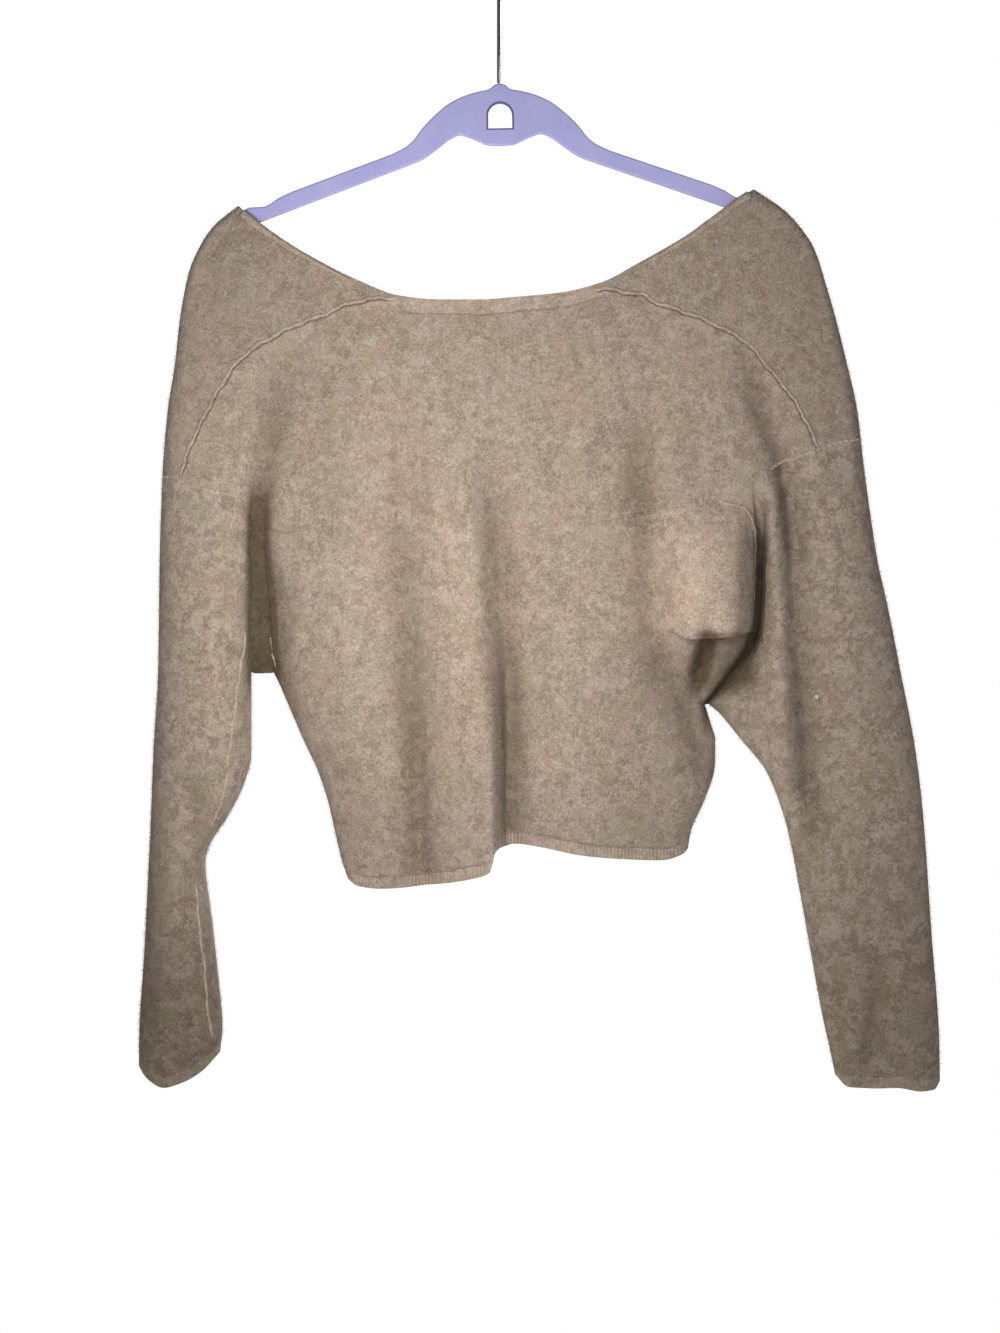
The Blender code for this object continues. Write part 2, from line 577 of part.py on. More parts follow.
def cloth_grids():
    """Every grid of the mid surface, with the part of the garment that it belongs to."""
    grids = []
    for side, sign in (("back", -1), ("front", 1)):
        shoulders = shoulder_grid(side)
        grids.append((side, sign, "shoulders", shoulders))
        x, drop, strip = shoulders["x"][-1], shoulders["drop"][-1], shoulders["strip"]
        hem = BACK_HEM if side == "back" else FRONT_HEM
        for part, number, outer, inner, edge, rows, band in (
            ("left", 0, LEFT_OUTLINE, LEFT_INNER, LEFT_CUFF, SLEEVE_ROWS, CUFF_DEPTH),
            ("body", 2, BODY_LEFT, BODY_RIGHT, hem, BODY_ROWS, HEM_DEPTH),
            ("right", 4, RIGHT_INNER, RIGHT_OUTLINE, RIGHT_CUFF, SLEEVE_ROWS, CUFF_DEPTH),
        ):
            first = int(np.searchsorted(strip, number))
            last = int(np.searchsorted(strip, number + 1)) if number < 4 else len(strip) - 1
            tx, td = x[first : last + 1], drop[first : last + 1]
            share = (tx - tx[0]) / (tx[-1] - tx[0])

            def top(s, share=share, tx=tx, td=td):
                return np.stack([np.interp(s, share, tx), np.interp(s, share, td)], axis=-1)

            left = down(outer, td[0], edge["drop"][0])
            right = down(inner, td[-1], edge["drop"][-1])
            grid = tube_grid(side, part, top, across(edge), left, right, share, rows, band)
            grids.append((side, sign, part, grid))
    return grids


# ---------------------------------------------------------------- cloth pieces
class Cloth:
    """Polygons on one mid surface. A point's row holds its place, its normal, its signed
    distance to each seam and to the neck and hem bands, and its half depth as "side"."""

    names = ("yoke_left", "yoke_right", "arm_left", "arm_right", "neck", "hem", "side")

    def __init__(self):
        self.rows = []
        self.cuts = {}

    def column(self, name):
        return 6 + self.names.index(name)

    def cut(self, faces, name, keep, gap=SEAM_GAP):
        """The faces on one side of a seam (keep is 1 or -1), half a gap back from it."""
        column = self.column(name)
        kept = []
        for face in faces:
            out = []
            for i, b in enumerate(face):
                a = face[i - 1]
                inside = [keep * self.rows[p][column] > gap / 2 for p in (a, b)]
                if inside[0] != inside[1]:
                    out.append(self.crossing(a, b, column, keep * gap / 2))
                if inside[1]:
                    out.append(b)
            if len(out) > 2:
                kept.append(tuple(out))
        return kept

    def crossing(self, a, b, column, value):
        a, b = min(a, b), max(a, b)
        key = (a, b, column, value)
        if key not in self.cuts:
            first, second = self.rows[a], self.rows[b]
            share = (value - first[column]) / (second[column] - first[column])
            self.cuts[key] = len(self.rows)
            self.rows.append(first + (second - first) * share)
        return self.cuts[key]


def seam_fields(part, grid):
    """For each point of a grid, the distances that cutting reads."""
    x, drop = grid["x"], grid["drop"]
    far = np.ones_like(x)
    near_neck = grid.get("start", far) - NECK_DEPTH
    near_hem = grid.get("end", far) - (HEM_DEPTH if part == "body" else CUFF_DEPTH)
    distances = [polyline_distance(x, drop, line)[0] for line in SEAMS.values()]
    stacked = np.stack([*distances, near_neck, near_hem, grid["depth"]], axis=-1)
    return list(stacked.reshape(-1, len(Cloth.names)))


def build_cloth():
    """Cloth, with its faces grouped by side and part of the garment."""
    merged = bmesh.new()
    tag = merged.faces.layers.int.new("group")
    groups = []
    fields = []
    for side, sign, part, grid in cloth_grids():
        rows, columns = grid["x"].shape
        x, drop = grid["x"], grid["drop"]
        y = sign * grid["depth"] + swing(x, drop)
        places = np.stack([x, y, -drop], axis=-1).reshape(-1, 3)
        verts = [merged.verts.new(place) for place in places]
        fields += seam_fields(part, grid)
        for i in range(rows - 1):
            for j in range(columns - 1):
                first = i * columns + j
                corners = [first, first + columns, first + columns + 1, first + 1]
                corners = corners if sign < 0 else corners[::-1]
                face = merged.faces.new([verts[c] for c in corners])
                face[tag] = len(groups)
        groups.append((side, part))
    merged.verts.index_update()
    index = merged.verts.layers.int.new("field")
    for vert in merged.verts:
        vert[index] = vert.index
    bmesh.ops.remove_doubles(merged, verts=merged.verts, dist=1e-6)
    merged.normal_update()
    merged.verts.index_update()
    cloth = Cloth()
    for vert in merged.verts:
        cloth.rows.append(np.array([*vert.co, *vert.normal, *fields[vert[index]]]))
    faces = {group: [] for group in groups}
    for face in merged.faces:
        faces[groups[face[tag]]].append(tuple(v.index for v in face.verts))
    merged.free()
    return cloth, faces


def thicken(name, cloth, faces, material, parts):
    """One closed solid: the faces moved out and in by half the wall, and a rim between."""
    sheet = bmesh.new()
    normal = sheet.verts.layers.float_vector.new("normal")
    made = {}
    for face in faces:
        for p in face:
            if p not in made:
                made[p] = sheet.verts.new(cloth.rows[p][:3])
                made[p][normal] = cloth.rows[p][3:6]
        sheet.faces.new([made[p] for p in face])
    bmesh.ops.remove_doubles(sheet, verts=sheet.verts, dist=WELD)
    bmesh.ops.triangulate(sheet, faces=sheet.faces, quad_method="SHORT_EDGE")
    sheet.verts.index_update()
    count = len(sheet.verts)
    points = [v.co + s * WALL / 2 * v[normal].normalized() for s in (1, -1) for v in sheet.verts]
    skins = [[v.index for v in f.verts] for f in sheet.faces]
    skins += [[v + count for v in reversed(f)] for f in skins]
    for edge in sheet.edges:
        if edge.is_boundary:
            loop = edge.link_loops[0]
            a, b = loop.vert, loop.link_loop_next.vert
            slanted = a.co.dot(RIM_ORDER) < b.co.dot(RIM_ORDER)
            a, b = a.index, b.index
            if slanted:
                skins += [[b, a, a + count], [b, a + count, b + count]]
            else:
                skins += [[b, a, b + count], [a, a + count, b + count]]
    sheet.free()
    mesh = bpy.data.meshes.new(name)
    mesh.from_pydata(points, [], skins)
    mesh.materials.append(material)
    mesh.shade_smooth()
    mesh.set_sharp_from_angle(angle=SHARP)
    parts.objects.link(bpy.data.objects.new(name, mesh))


def build_sweater(parts, felt, edge):
    cloth, faces = build_cloth()
    shoulders = {side: faces[side, "shoulders"] for side in ("back", "front")}
    for side in ("back", "front"):
        panel = shoulders[side]
        for seam in ("arm_left", "arm_right", "yoke_left", "yoke_right"):
            panel = cloth.cut(panel, seam, -1)
        band = cloth.cut(panel, "neck", -1)
        panel = cloth.cut(panel, "neck", 1) + cloth.cut(faces[side, "body"], "hem", 1)
        panel = cloth.cut(panel, "side", 1)
        thicken(f"{side}_panel", cloth, panel, felt, parts)
        thicken(f"neck_band_{side}", cloth, band, edge, parts)
    whole = shoulders["back"] + shoulders["front"]
    for part in ("left", "right"):
        yoke = cloth.cut(cloth.cut(whole, f"yoke_{part}", 1), f"arm_{part}", -1)
        thicken(f"yoke_{part}", cloth, yoke, felt, parts)
        tube = faces["back", part] + faces["front", part]
        sleeve = cloth.cut(whole, f"arm_{part}", 1) + cloth.cut(tube, "hem", 1)
        thicken(f"sleeve_{part}", cloth, sleeve, felt, parts)
        thicken(f"cuff_{part}", cloth, cloth.cut(tube, "hem", -1), edge, parts)
    hem = cloth.cut(faces["back", "body"] + faces["front", "body"], "hem", -1)
    thicken("hem_band", cloth, hem, edge, parts)


# ---------------------------------------------------------------- hanger
# Half outline of the head, from the nub out to where the straight arm starts.
HEAD_TOP = table(
    "x drop",
    (0.0000, 0.0947), (0.0045, 0.0956), (0.0085, 0.0978), (0.0141, 0.0999),
    (0.0252, 0.1030), (0.0363, 0.1080), (0.0474, 0.1164), (0.0585, 0.1277),
    (0.0640, 0.1350), (0.0700, 0.1402), (0.0807, 0.1456),
)
HEAD_BOTTOM = table(
    "x drop",
    (0.0000, 0.1406), (0.0090, 0.1400), (0.0160, 0.1372), (0.0225, 0.1343),
    (0.0300, 0.1322), (0.0370, 0.1350), (0.0474, 0.1426), (0.0585, 0.1500),
    (0.0696, 0.1543), (0.0807, 0.1583),
)
# Upper edge of the arm past the head: down to the strap notch, its floor, the hidden end.
ARM_TOP = table(
    "x drop",
    (0.1547, 0.1719), (0.1650, 0.1765), (0.1700, 0.1800), (0.1750, 0.1826),
    (0.1872, 0.1832), (0.1900, 0.1846), (0.1960, 0.1894), (0.2015, 0.1938),
)
ARM_END = dict(x=0.2030, drop=0.1990, radius=0.0045)
NUB = 0.0947  # drop of the hanger's top, where it tilts on the hook
ARCH = dict(width=0.0178, top=0.1092, floor=0.1277)
SOFT_EDGE = 0.0008
# The wire's middle line below the crown: shank, then the bend out to the crown's circle.
SHANK = table(
    "y z",
    (0.0000, -0.0940), (0.0000, -0.0840), (0.0000, -0.0740), (0.0000, -0.0640),
    (0.0012, -0.0570), (0.0048, -0.0505), (0.0100, -0.0448),
)
CROWN_TURN = range(-50, 201, 12)  # degrees
TIP_RUN = (-0.0006, -0.0045)  # last step down to the open tip


def hanger_half(sign):
    """Outline of one half of the hanger, from the middle of its top edge round to below."""
    top = rounded(HEAD_TOP, 15)
    under = rounded(HEAD_BOTTOM, 15)[::-1]
    turn = [math.radians(a) for a in range(50, -71, -20)]
    end = [
        (ARM_END["x"] + ARM_END["radius"] * math.cos(a), ARM_END["drop"] - ARM_END["radius"] * math.sin(a))
        for a in turn
    ]
    points = [*top, *np.stack([ARM_TOP["x"], ARM_TOP["drop"]], -1), *end, *under]
    return [(sign * x, NUB - drop) for x, drop in points]


def outline_object(name, loops, thick):
    """Flat solid in the XZ plane from closed outlines, the first one the outside."""
    curve = bpy.data.curves.new(name, "CURVE")
    curve.dimensions = "2D"
    curve.fill_mode = "BOTH"
    curve.extrude = thick / 2
    for loop in loops:
        spline = curve.splines.new("POLY")
        spline.points.add(len(loop) - 1)
        for point, (x, z) in zip(spline.points, loop):
            point.co = (x, z, 0, 1)
        spline.use_cyclic_u = True
    obj = bpy.data.objects.new(name, curve)
    bpy.context.scene.collection.objects.link(obj)
    bpy.context.view_layer.update()
    mesh = bpy.data.meshes.new_from_object(obj.evaluated_get(bpy.context.evaluated_depsgraph_get()))
    bpy.data.objects.remove(obj)
    shape = bmesh.new()
    shape.from_mesh(mesh)
    bmesh.ops.remove_doubles(shape, verts=shape.verts, dist=1e-6)
    bmesh.ops.rotate(shape, verts=shape.verts, matrix=Matrix.Rotation(math.radians(90), 3, "X"))
    bmesh.ops.recalc_face_normals(shape, faces=shape.faces)
    shape.to_mesh(mesh)
    shape.free()
    mesh.name = name
    return bpy.data.objects.new(name, mesh)


def build_hanger(parts, velvet):
    right = hanger_half(1)
    outside = right + hanger_half(-1)[::-1][1:-1]
    half = ARCH["width"] / 2
    turn = [math.radians(a) for a in range(0, 181, 20)]
    spring = NUB - ARCH["top"] - half
    arch = [(half * math.cos(a), spring + half * math.sin(a)) for a in turn]
    arch += [(-half, NUB - ARCH["floor"]), (half, NUB - ARCH["floor"])]
    obj = outline_object("hanger_body", [outside, arch], HANGER_THICK)
    obj.data.materials.append(velvet)
    soft = obj.modifiers.new("soft edges", "BEVEL")
    soft.width = SOFT_EDGE
    soft.segments = 1
    soft.angle_limit = math.radians(60)
    obj.rotation_euler = (0, -HANGER_TILT, 0)
    obj.location = (HANGER_MIDDLE, 0, -NUB)
    parts.objects.link(obj)


def hook_route():
    """Wire's middle line in the YZ plane: shank, S bend, crown, open tip."""
    bend = HOOK_RADIUS + WIRE_RADIUS
    points = list(zip(SHANK["y"], SHANK["z"]))
    for degrees in CROWN_TURN:
        a = math.radians(degrees)
        points.append((bend * math.cos(a), bend * math.sin(a) - HOOK_RADIUS))
    points.append((points[-1][0] + TIP_RUN[0], points[-1][1] + TIP_RUN[1]))
    return points


def build_hook(parts, chrome):
    curve = bpy.data.curves.new("hanger_hook", "CURVE")
    curve.dimensions = "3D"
    curve.bevel_depth = WIRE_RADIUS
    curve.bevel_resolution = 2
    curve.use_fill_caps = True
    route = hook_route()
    spline = curve.splines.new("POLY")
    spline.points.add(len(route) - 1)
    for point, (y, z) in zip(spline.points, route):
        point.co = (0, y, z, 1)
    curve.materials.append(chrome)
    parts.objects.link(bpy.data.objects.new("hanger_hook", curve))


# ---------------------------------------------------------------- scene
def clear_scene():
    for obj in list(bpy.data.objects):
        bpy.data.objects.remove(obj, do_unlink=True)


def material(name, colour, roughness, metallic=0.0):
    made = bpy.data.materials.new(name)
    made.use_nodes = True
    shader = made.node_tree.nodes["Principled BSDF"]
    shader.inputs["Base Color"].default_value = (*colour, 1)
    shader.inputs["Roughness"].default_value = roughness
    shader.inputs["Metallic"].default_value = metallic
    made.diffuse_color = (*colour, 1)
    return made


def main():
    clear_scene()
    parts = bpy.data.collections.new("cropped_sweater_on_hanger")
    bpy.context.scene.collection.children.link(parts)
    felt = material("felted wool", FELT, 0.95)
    edge = material("ribbed edge", FELT_EDGE, 0.95)
    build_sweater(parts, felt, edge)
    build_hanger(parts, material("lilac velvet", LILAC, 0.8))
    build_hook(parts, material("chrome wire", CHROME, 0.2, 1.0))


main()
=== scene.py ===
"""Cropped felted sweater on a slim velvet hanger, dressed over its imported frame.

Metres, +Z up. The origin is the underside of the hook's crown. The back of the sweater
faces -Y, towards the camera. Heights are given as drops: metres below the origin.
"""

import json
import math

import bmesh
import bpy
import numpy as np
from mathutils import Matrix, Vector
from mathutils.bvhtree import BVHTree
from mathutils.geometry import tessellate_polygon

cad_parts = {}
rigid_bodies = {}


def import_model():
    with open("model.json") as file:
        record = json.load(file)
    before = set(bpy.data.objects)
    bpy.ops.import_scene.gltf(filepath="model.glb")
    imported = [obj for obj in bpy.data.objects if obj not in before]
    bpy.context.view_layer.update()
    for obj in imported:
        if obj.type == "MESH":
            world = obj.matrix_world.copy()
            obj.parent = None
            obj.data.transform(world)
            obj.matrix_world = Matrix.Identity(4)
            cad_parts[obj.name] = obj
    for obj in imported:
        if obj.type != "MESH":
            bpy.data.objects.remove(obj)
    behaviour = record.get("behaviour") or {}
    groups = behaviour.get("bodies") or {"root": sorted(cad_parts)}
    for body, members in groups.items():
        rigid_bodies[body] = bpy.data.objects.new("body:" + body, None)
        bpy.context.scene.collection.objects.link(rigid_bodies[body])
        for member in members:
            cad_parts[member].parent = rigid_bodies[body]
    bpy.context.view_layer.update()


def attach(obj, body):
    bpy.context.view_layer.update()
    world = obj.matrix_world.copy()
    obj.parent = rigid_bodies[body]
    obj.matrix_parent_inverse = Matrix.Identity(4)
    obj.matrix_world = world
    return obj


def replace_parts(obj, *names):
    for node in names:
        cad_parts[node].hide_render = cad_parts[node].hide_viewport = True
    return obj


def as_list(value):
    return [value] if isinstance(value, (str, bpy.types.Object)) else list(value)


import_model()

# ---------------------------------------------------------------- driving sizes
WALL = 0.0018  # felted knit
SEAM_GAP = 0.00002  # the cuts meet here, where the solids keep 0.3 mm apart
HEM_DEPTH = 0.009
CUFF_DEPTH = 0.008
NECK_DEPTH = 0.0115
CHEST = 0.355  # drop of the level line across the chest
LEFT_CROTCH = 0.530  # drop where the left sleeve parts from the body
RIGHT_CROTCH = 0.5528
EDGE_REACH = 0.070  # how far in from a fold line the cloth takes to reach its full depth
SNAP = 0.28  # share of a cell's size within which a point is moved onto a seam
SHARP = math.radians(50)

UPPER_ROWS = 30
MIDDLE_ROWS = 72
BODY_ROWS = 56
SLEEVE_ROWS = 110
SLEEVE_COLUMNS = 48
WEB_COLUMNS = 6
BODY_COLUMNS = 120
LEDGE_ROWS_AT = 0.765  # share of the middle rows where they crowd round the lobe's ledge
MIDDLE_FOLD_AT = 0.51  # share of the body's width where the sharp fold crosses the crotch line
MIDDLE_FOLD_REACH = 0.045
MIDDLE_FOLD_LEAN = 0.075  # how far it has moved left by the hem

# Superellipse powers of the cross-sections: 2 is an ellipse, more is fuller.
SLEEVE_FULLNESS = 2.2
BODY_FULLNESS = 2.4
FOLD_FULLNESS = 2.6  # how folds die out towards the edges of a strip
LOBE_FULLNESS = 5.0
SAG_FULLNESS = 3.0
FOLD_RISE = 0.35  # share of a fold's length over which it grows to its full height
FOLD_FALL = 0.25  # share over which it dies out again
# Distance in from an outer fold line over which folds grow to their full height.
BODY_FADE = 0.03
SLEEVE_FADE = 0.02

HANGER_THICK = 0.005
HANGER_TILT = math.radians(1.0)
HANGER_MIDDLE = 0.0004  # x of the hook's shank
WIRE_RADIUS = 0.0015
HOOK_RADIUS = 0.020  # inside the crown


def table(names, *rows):
    """Named columns from rows of numbers."""
    return dict(zip(names.split(), np.array(rows, float).T))


# The two outer fold lines, shoulder tip to cuff.
LEFT_OUTLINE = table(
    "drop x",
    (0.1857, -0.1924), (0.1907, -0.2000), (0.2031, -0.2127), (0.2173, -0.2216),
    (0.2346, -0.2287), (0.2694, -0.2353), (0.3027, -0.2390), (0.3360, -0.2442),
    (0.3804, -0.2479), (0.4470, -0.2500), (0.5247, -0.2509), (0.5913, -0.2546),
    (0.6579, -0.2568), (0.7356, -0.2605), (0.7948, -0.2642), (0.8184, -0.2645),
)
RIGHT_OUTLINE = table(
    "drop x",
    (0.1736, 0.1883), (0.1791, 0.1962), (0.1864, 0.2079), (0.1971, 0.2189),
    (0.2168, 0.2324), (0.2464, 0.2420), (0.2694, 0.2486), (0.3027, 0.2568),
    (0.3360, 0.2642), (0.3804, 0.2694), (0.4470, 0.2790), (0.4803, 0.2864),
    (0.5247, 0.2953), (0.5913, 0.3078), (0.6357, 0.3130), (0.7245, 0.3197),
    (0.8022, 0.3256), (0.8318, 0.3262),
)
# Inner edges of the sleeves and the two side edges of the body, below the crotches.
LEFT_INNER = table(
    "drop x",
    (0.5300, -0.1843), (0.5913, -0.1843), (0.6135, -0.1902), (0.6357, -0.2013),
    (0.6579, -0.2153), (0.6690, -0.2183), (0.7134, -0.2131), (0.7578, -0.2079),
    (0.7911, -0.2050), (0.8096, -0.2065),
)
RIGHT_INNER = table(
    "drop x",
    (0.5528, 0.1554), (0.5580, 0.1621), (0.5691, 0.1717), (0.5802, 0.1806),
    (0.5913, 0.1902), (0.6024, 0.1983), (0.6246, 0.2079), (0.6468, 0.2146),
    (0.6912, 0.2235), (0.7356, 0.2316), (0.7800, 0.2398), (0.8170, 0.2479),
    (0.8280, 0.2500),
)
BODY_LEFT = table(
    "drop x",
    (0.5300, -0.1658), (0.5358, -0.1628), (0.5580, -0.1532), (0.5802, -0.1436),
    (0.6024, -0.1332), (0.6246, -0.1258), (0.6468, -0.1206), (0.6690, -0.1154),
    (0.6815, -0.1112),
)
BODY_RIGHT = table(
    "drop x",
    (0.5528, 0.1510), (0.5691, 0.1561), (0.5802, 0.1591), (0.5950, 0.1591),
    (0.6024, 0.1584), (0.6246, 0.1510), (0.6468, 0.1413), (0.6593, 0.1391),
)
# The tucks under the arms: the sleeve's edge, the seam in the tuck, the body's edge.
LEFT_TUCK = table(
    "drop sleeve seam body",
    (0.3550, -0.1709, -0.1665, -0.1610), (0.3804, -0.1783, -0.1732, -0.1665),
    (0.4026, -0.1820, -0.1769, -0.1709), (0.4322, -0.1835, -0.1783, -0.1724),
    (0.4766, -0.1839, -0.1757, -0.1695), (0.5300, -0.1843, -0.1739, -0.1658),
)
RIGHT_TUCK = table(
    "drop body seam sleeve",
    (0.3550, 0.1872, 0.1931, 0.1991), (0.3804, 0.1857, 0.1909, 0.1961),
    (0.4026, 0.1865, 0.1909, 0.1954), (0.4322, 0.1880, 0.1917, 0.1954),
    (0.4692, 0.1872, 0.1909, 0.1946), (0.5025, 0.1840, 0.1876, 0.1911),
    (0.5313, 0.1684, 0.1720, 0.1761), (0.5528, 0.1510, 0.1532, 0.1554),
)
# Free edges, across the garment.
BACK_NECK = table(
    "x drop",
    (-0.1924, 0.1857), (-0.1806, 0.1961), (-0.1621, 0.2094), (-0.1325, 0.2272),
    (-0.1029, 0.2420), (-0.0733, 0.2531), (-0.0437, 0.2560), (-0.0141, 0.2560),
    (0.0155, 0.2538), (0.0451, 0.2509), (0.0747, 0.2435), (0.1043, 0.2279),
    (0.1339, 0.2109), (0.1635, 0.1902), (0.1783, 0.1791), (0.1883, 0.1736),
)
FRONT_NECK = table(
    "x drop",
    (-0.1924, 0.1857), (-0.1700, 0.2140), (-0.1400, 0.2500), (-0.0950, 0.2860),
    (-0.0400, 0.3020), (0.0250, 0.3010), (0.0850, 0.2830), (0.1350, 0.2420),
    (0.1650, 0.2040), (0.1883, 0.1736),
)
BACK_HEM = table(
    "x drop",
    (-0.1112, 0.6815), (-0.1029, 0.6867), (-0.0881, 0.6882), (-0.0733, 0.6875),
    (-0.0437, 0.6840), (-0.0141, 0.6780), (-0.0066, 0.6745), (-0.0036, 0.6605),
    (0.0030, 0.6566), (0.0155, 0.6552), (0.0303, 0.6571), (0.0599, 0.6630), (0.0895, 0.6660),
    (0.1191, 0.6675), (0.1339, 0.6638), (0.1391, 0.6593),
)
FRONT_HEM = table(
    "x drop",
    (-0.1112, 0.6815), (-0.0950, 0.6840), (-0.0400, 0.6760), (0.0300, 0.6550),
    (0.0900, 0.6570), (0.1300, 0.6610), (0.1391, 0.6593),
)
LEFT_CUFF = table(
    "x drop",
    (-0.2645, 0.8184), (-0.2568, 0.8273), (-0.2449, 0.8332), (-0.2316, 0.8295),
    (-0.2176, 0.8214), (-0.2065, 0.8096),
)
RIGHT_CUFF = table(
    "x drop",
    (0.2500, 0.8280), (0.2583, 0.8362), (0.2745, 0.8369), (0.2930, 0.8362),
    (0.3115, 0.8392), (0.3210, 0.8384), (0.3262, 0.8318),
)
# Seams, seen from the back. The front is sewn on the same lines.
YOKE_LEFT = table(
    "x drop",
    (-0.0560, 0.2480), (-0.0733, 0.2542), (-0.0844, 0.2553), (-0.0948, 0.2559),
    (-0.1095, 0.2582), (-0.1199, 0.2620), (-0.1295, 0.2680), (-0.1470, 0.2742),
    (-0.1620, 0.2804), (-0.1894, 0.3004), (-0.2065, 0.3226), (-0.2176, 0.3463),
    (-0.2287, 0.3678), (-0.2346, 0.3878), (-0.2370, 0.4000),
)
YOKE_RIGHT = table(
    "x drop",
    (0.0500, 0.2440), (0.0614, 0.2484), (0.0755, 0.2484), (0.0962, 0.2507),
    (0.1078, 0.2520), (0.1115, 0.2555), (0.1200, 0.2602), (0.1342, 0.2649),
    (0.1512, 0.2705), (0.1719, 0.2814), (0.1865, 0.2923), (0.2013, 0.3093),
    (0.2146, 0.3286), (0.2257, 0.3463), (0.2353, 0.3678), (0.2390, 0.3790),
)
ARMHOLE_LEFT_TOP = table(
    "x drop",
    (-0.2620, 0.3848), (-0.2472, 0.3863), (-0.2346, 0.3885), (-0.2287, 0.3922),
    (-0.2153, 0.3959), (-0.1983, 0.4003), (-0.1894, 0.4048), (-0.1830, 0.4140),
    (-0.1795, 0.4250),
)
ARMHOLE_RIGHT_TOP = table(
    "x drop",
    (0.2830, 0.3530), (0.2649, 0.3582), (0.2472, 0.3620), (0.2316, 0.3678),
    (0.2116, 0.3744), (0.2005, 0.3800), (0.1940, 0.3890), (0.1915, 0.4000),
)
SEAM_LEAVES_TOP = 0.4322  # drop below which an armhole seam runs down its tuck
PAST_CROTCH = 0.03  # how far its line runs on below the crotch, so that it cuts the cloth through

# Half depths of the hanging cloth: back and front of the body, then of each sleeve.
DEPTH = table(
    "drop back front left_back left_front right_back right_front fold",
    (0.170, 0.008, 0.008, 0.010, 0.010, 0.010, 0.010, 0.0042),
    (0.215, 0.010, 0.010, 0.012, 0.012, 0.012, 0.012, 0.0048),
    (0.260, 0.014, 0.013, 0.016, 0.015, 0.015, 0.015, 0.0065),
    (0.300, 0.018, 0.016, 0.019, 0.018, 0.018, 0.017, 0.0085),
    (0.355, 0.022, 0.019, 0.022, 0.021, 0.021, 0.019, 0.0110),
    (0.450, 0.029, 0.024, 0.027, 0.026, 0.023, 0.021, 0.0140),
    (0.540, 0.034, 0.029, 0.030, 0.029, 0.023, 0.021, 0.0140),
    (0.610, 0.036, 0.032, 0.032, 0.031, 0.021, 0.019, 0.0140),
    (0.680, 0.036, 0.033, 0.033, 0.032, 0.019, 0.017, 0.0140),
    (0.740, 0.036, 0.033, 0.029, 0.028, 0.017, 0.015, 0.0140),
    (0.840, 0.036, 0.033, 0.022, 0.022, 0.014, 0.013, 0.0140),
)
# How far each tuck has closed, and the half depth left in it.
TUCKING = table(
    "drop left left_floor right right_floor",
    (0.340, 0.00, 0.020, 0.00, 0.020), (0.365, 0.05, 0.019, 0.03, 0.019),
    (0.385, 0.18, 0.0165, 0.14, 0.017), (0.410, 0.50, 0.0120, 0.50, 0.0125),
    (0.440, 0.86, 0.0072, 0.90, 0.0068), (0.475, 1.00, 0.0048, 1.00, 0.0045),
    (0.515, 1.00, 0.0042, 1.00, 0.0042),
    (0.530, 1.00, 0.0000, 1.00, 0.0040), (0.5528, 1.00, 0.0000, 1.00, 0.0000),
)
# Long soft folds: where each starts and ends, how wide it is on each side, and its
# height (+ ridge, - trough). Back folds first, then front ones.
FOLDS = "x drop end_x end_drop left right height"
BACK_FOLDS = table(
    FOLDS,
    (-0.128, 0.250, -0.138, 0.470, 0.026, 0.022, -0.0036),
    (-0.156, 0.275, -0.184, 0.455, 0.012, 0.013, -0.0080),
    (-0.168, 0.415, -0.159, 0.600, 0.010, 0.012, -0.0115),
    (-0.076, 0.310, -0.050, 0.810, 0.014, 0.015, -0.0082),
    (-0.068, 0.460, -0.047, 0.810, 0.008, 0.007, -0.0050),
    (-0.026, 0.340, -0.010, 0.610, 0.030, 0.014, 0.0115),
    (-0.0065, 0.470, -0.0060, 0.830, 0.034, 0.0050, 0.0160),
    (-0.005, 0.345, 0.005, 0.610, 0.012, 0.013, -0.0090),
    (0.0050, 0.480, 0.0065, 0.830, 0.0050, 0.012, -0.0150),
    (0.062, 0.400, 0.064, 0.720, 0.026, 0.030, 0.0060),
    (0.102, 0.300, 0.118, 0.575, 0.014, 0.011, -0.0092),
    (0.112, 0.480, 0.158, 0.625, 0.012, 0.012, -0.0085),
    (0.171, 0.400, 0.172, 0.5325, 0.044, 0.012, 0.0300),
    (-0.118, 0.430, -0.096, 0.640, 0.020, 0.024, 0.0065),
)
FRONT_FOLDS = table(
    FOLDS,
    (-0.120, 0.330, -0.092, 0.700, 0.022, 0.026, -0.0070),
    (-0.040, 0.360, -0.034, 0.720, 0.024, 0.018, 0.0080),
    (0.004, 0.340, -0.002, 0.720, 0.018, 0.020, -0.0080),
    (0.050, 0.400, 0.058, 0.720, 0.026, 0.022, 0.0070),
    (0.104, 0.310, 0.098, 0.680, 0.018, 0.024, -0.0080),
    (0.150, 0.400, 0.140, 0.560, 0.022, 0.020, 0.0060),
)
LEFT_SLEEVE_FOLDS = table(
    FOLDS,
    (-0.236, 0.600, -0.200, 0.655, 0.011, 0.011, -0.0050),
    (-0.208, 0.400, -0.206, 0.560, 0.012, 0.012, 0.0030),
)
RIGHT_SLEEVE_FOLDS = table(
    FOLDS,
    (0.1780, 0.270, 0.2260, 0.455, 0.012, 0.010, -0.0085),
    (0.1960, 0.340, 0.2128, 0.660, 0.007, 0.006, 0.0060),
    (0.2072, 0.325, 0.2334, 0.700, 0.007, 0.014, -0.0100),
    (0.2400, 0.640, 0.2500, 0.760, 0.014, 0.014, 0.0030),
    (0.2840, 0.715, 0.2660, 0.855, 0.007, 0.010, -0.0042),
)
# The full lobe over the right tuck, cut off below by a ledge, and the pocket under it.
LOBE = dict(
    x=0.160, half_width=0.034, top=0.385, full=0.465, ledge=0.4965, fall=0.005, height=0.015
)
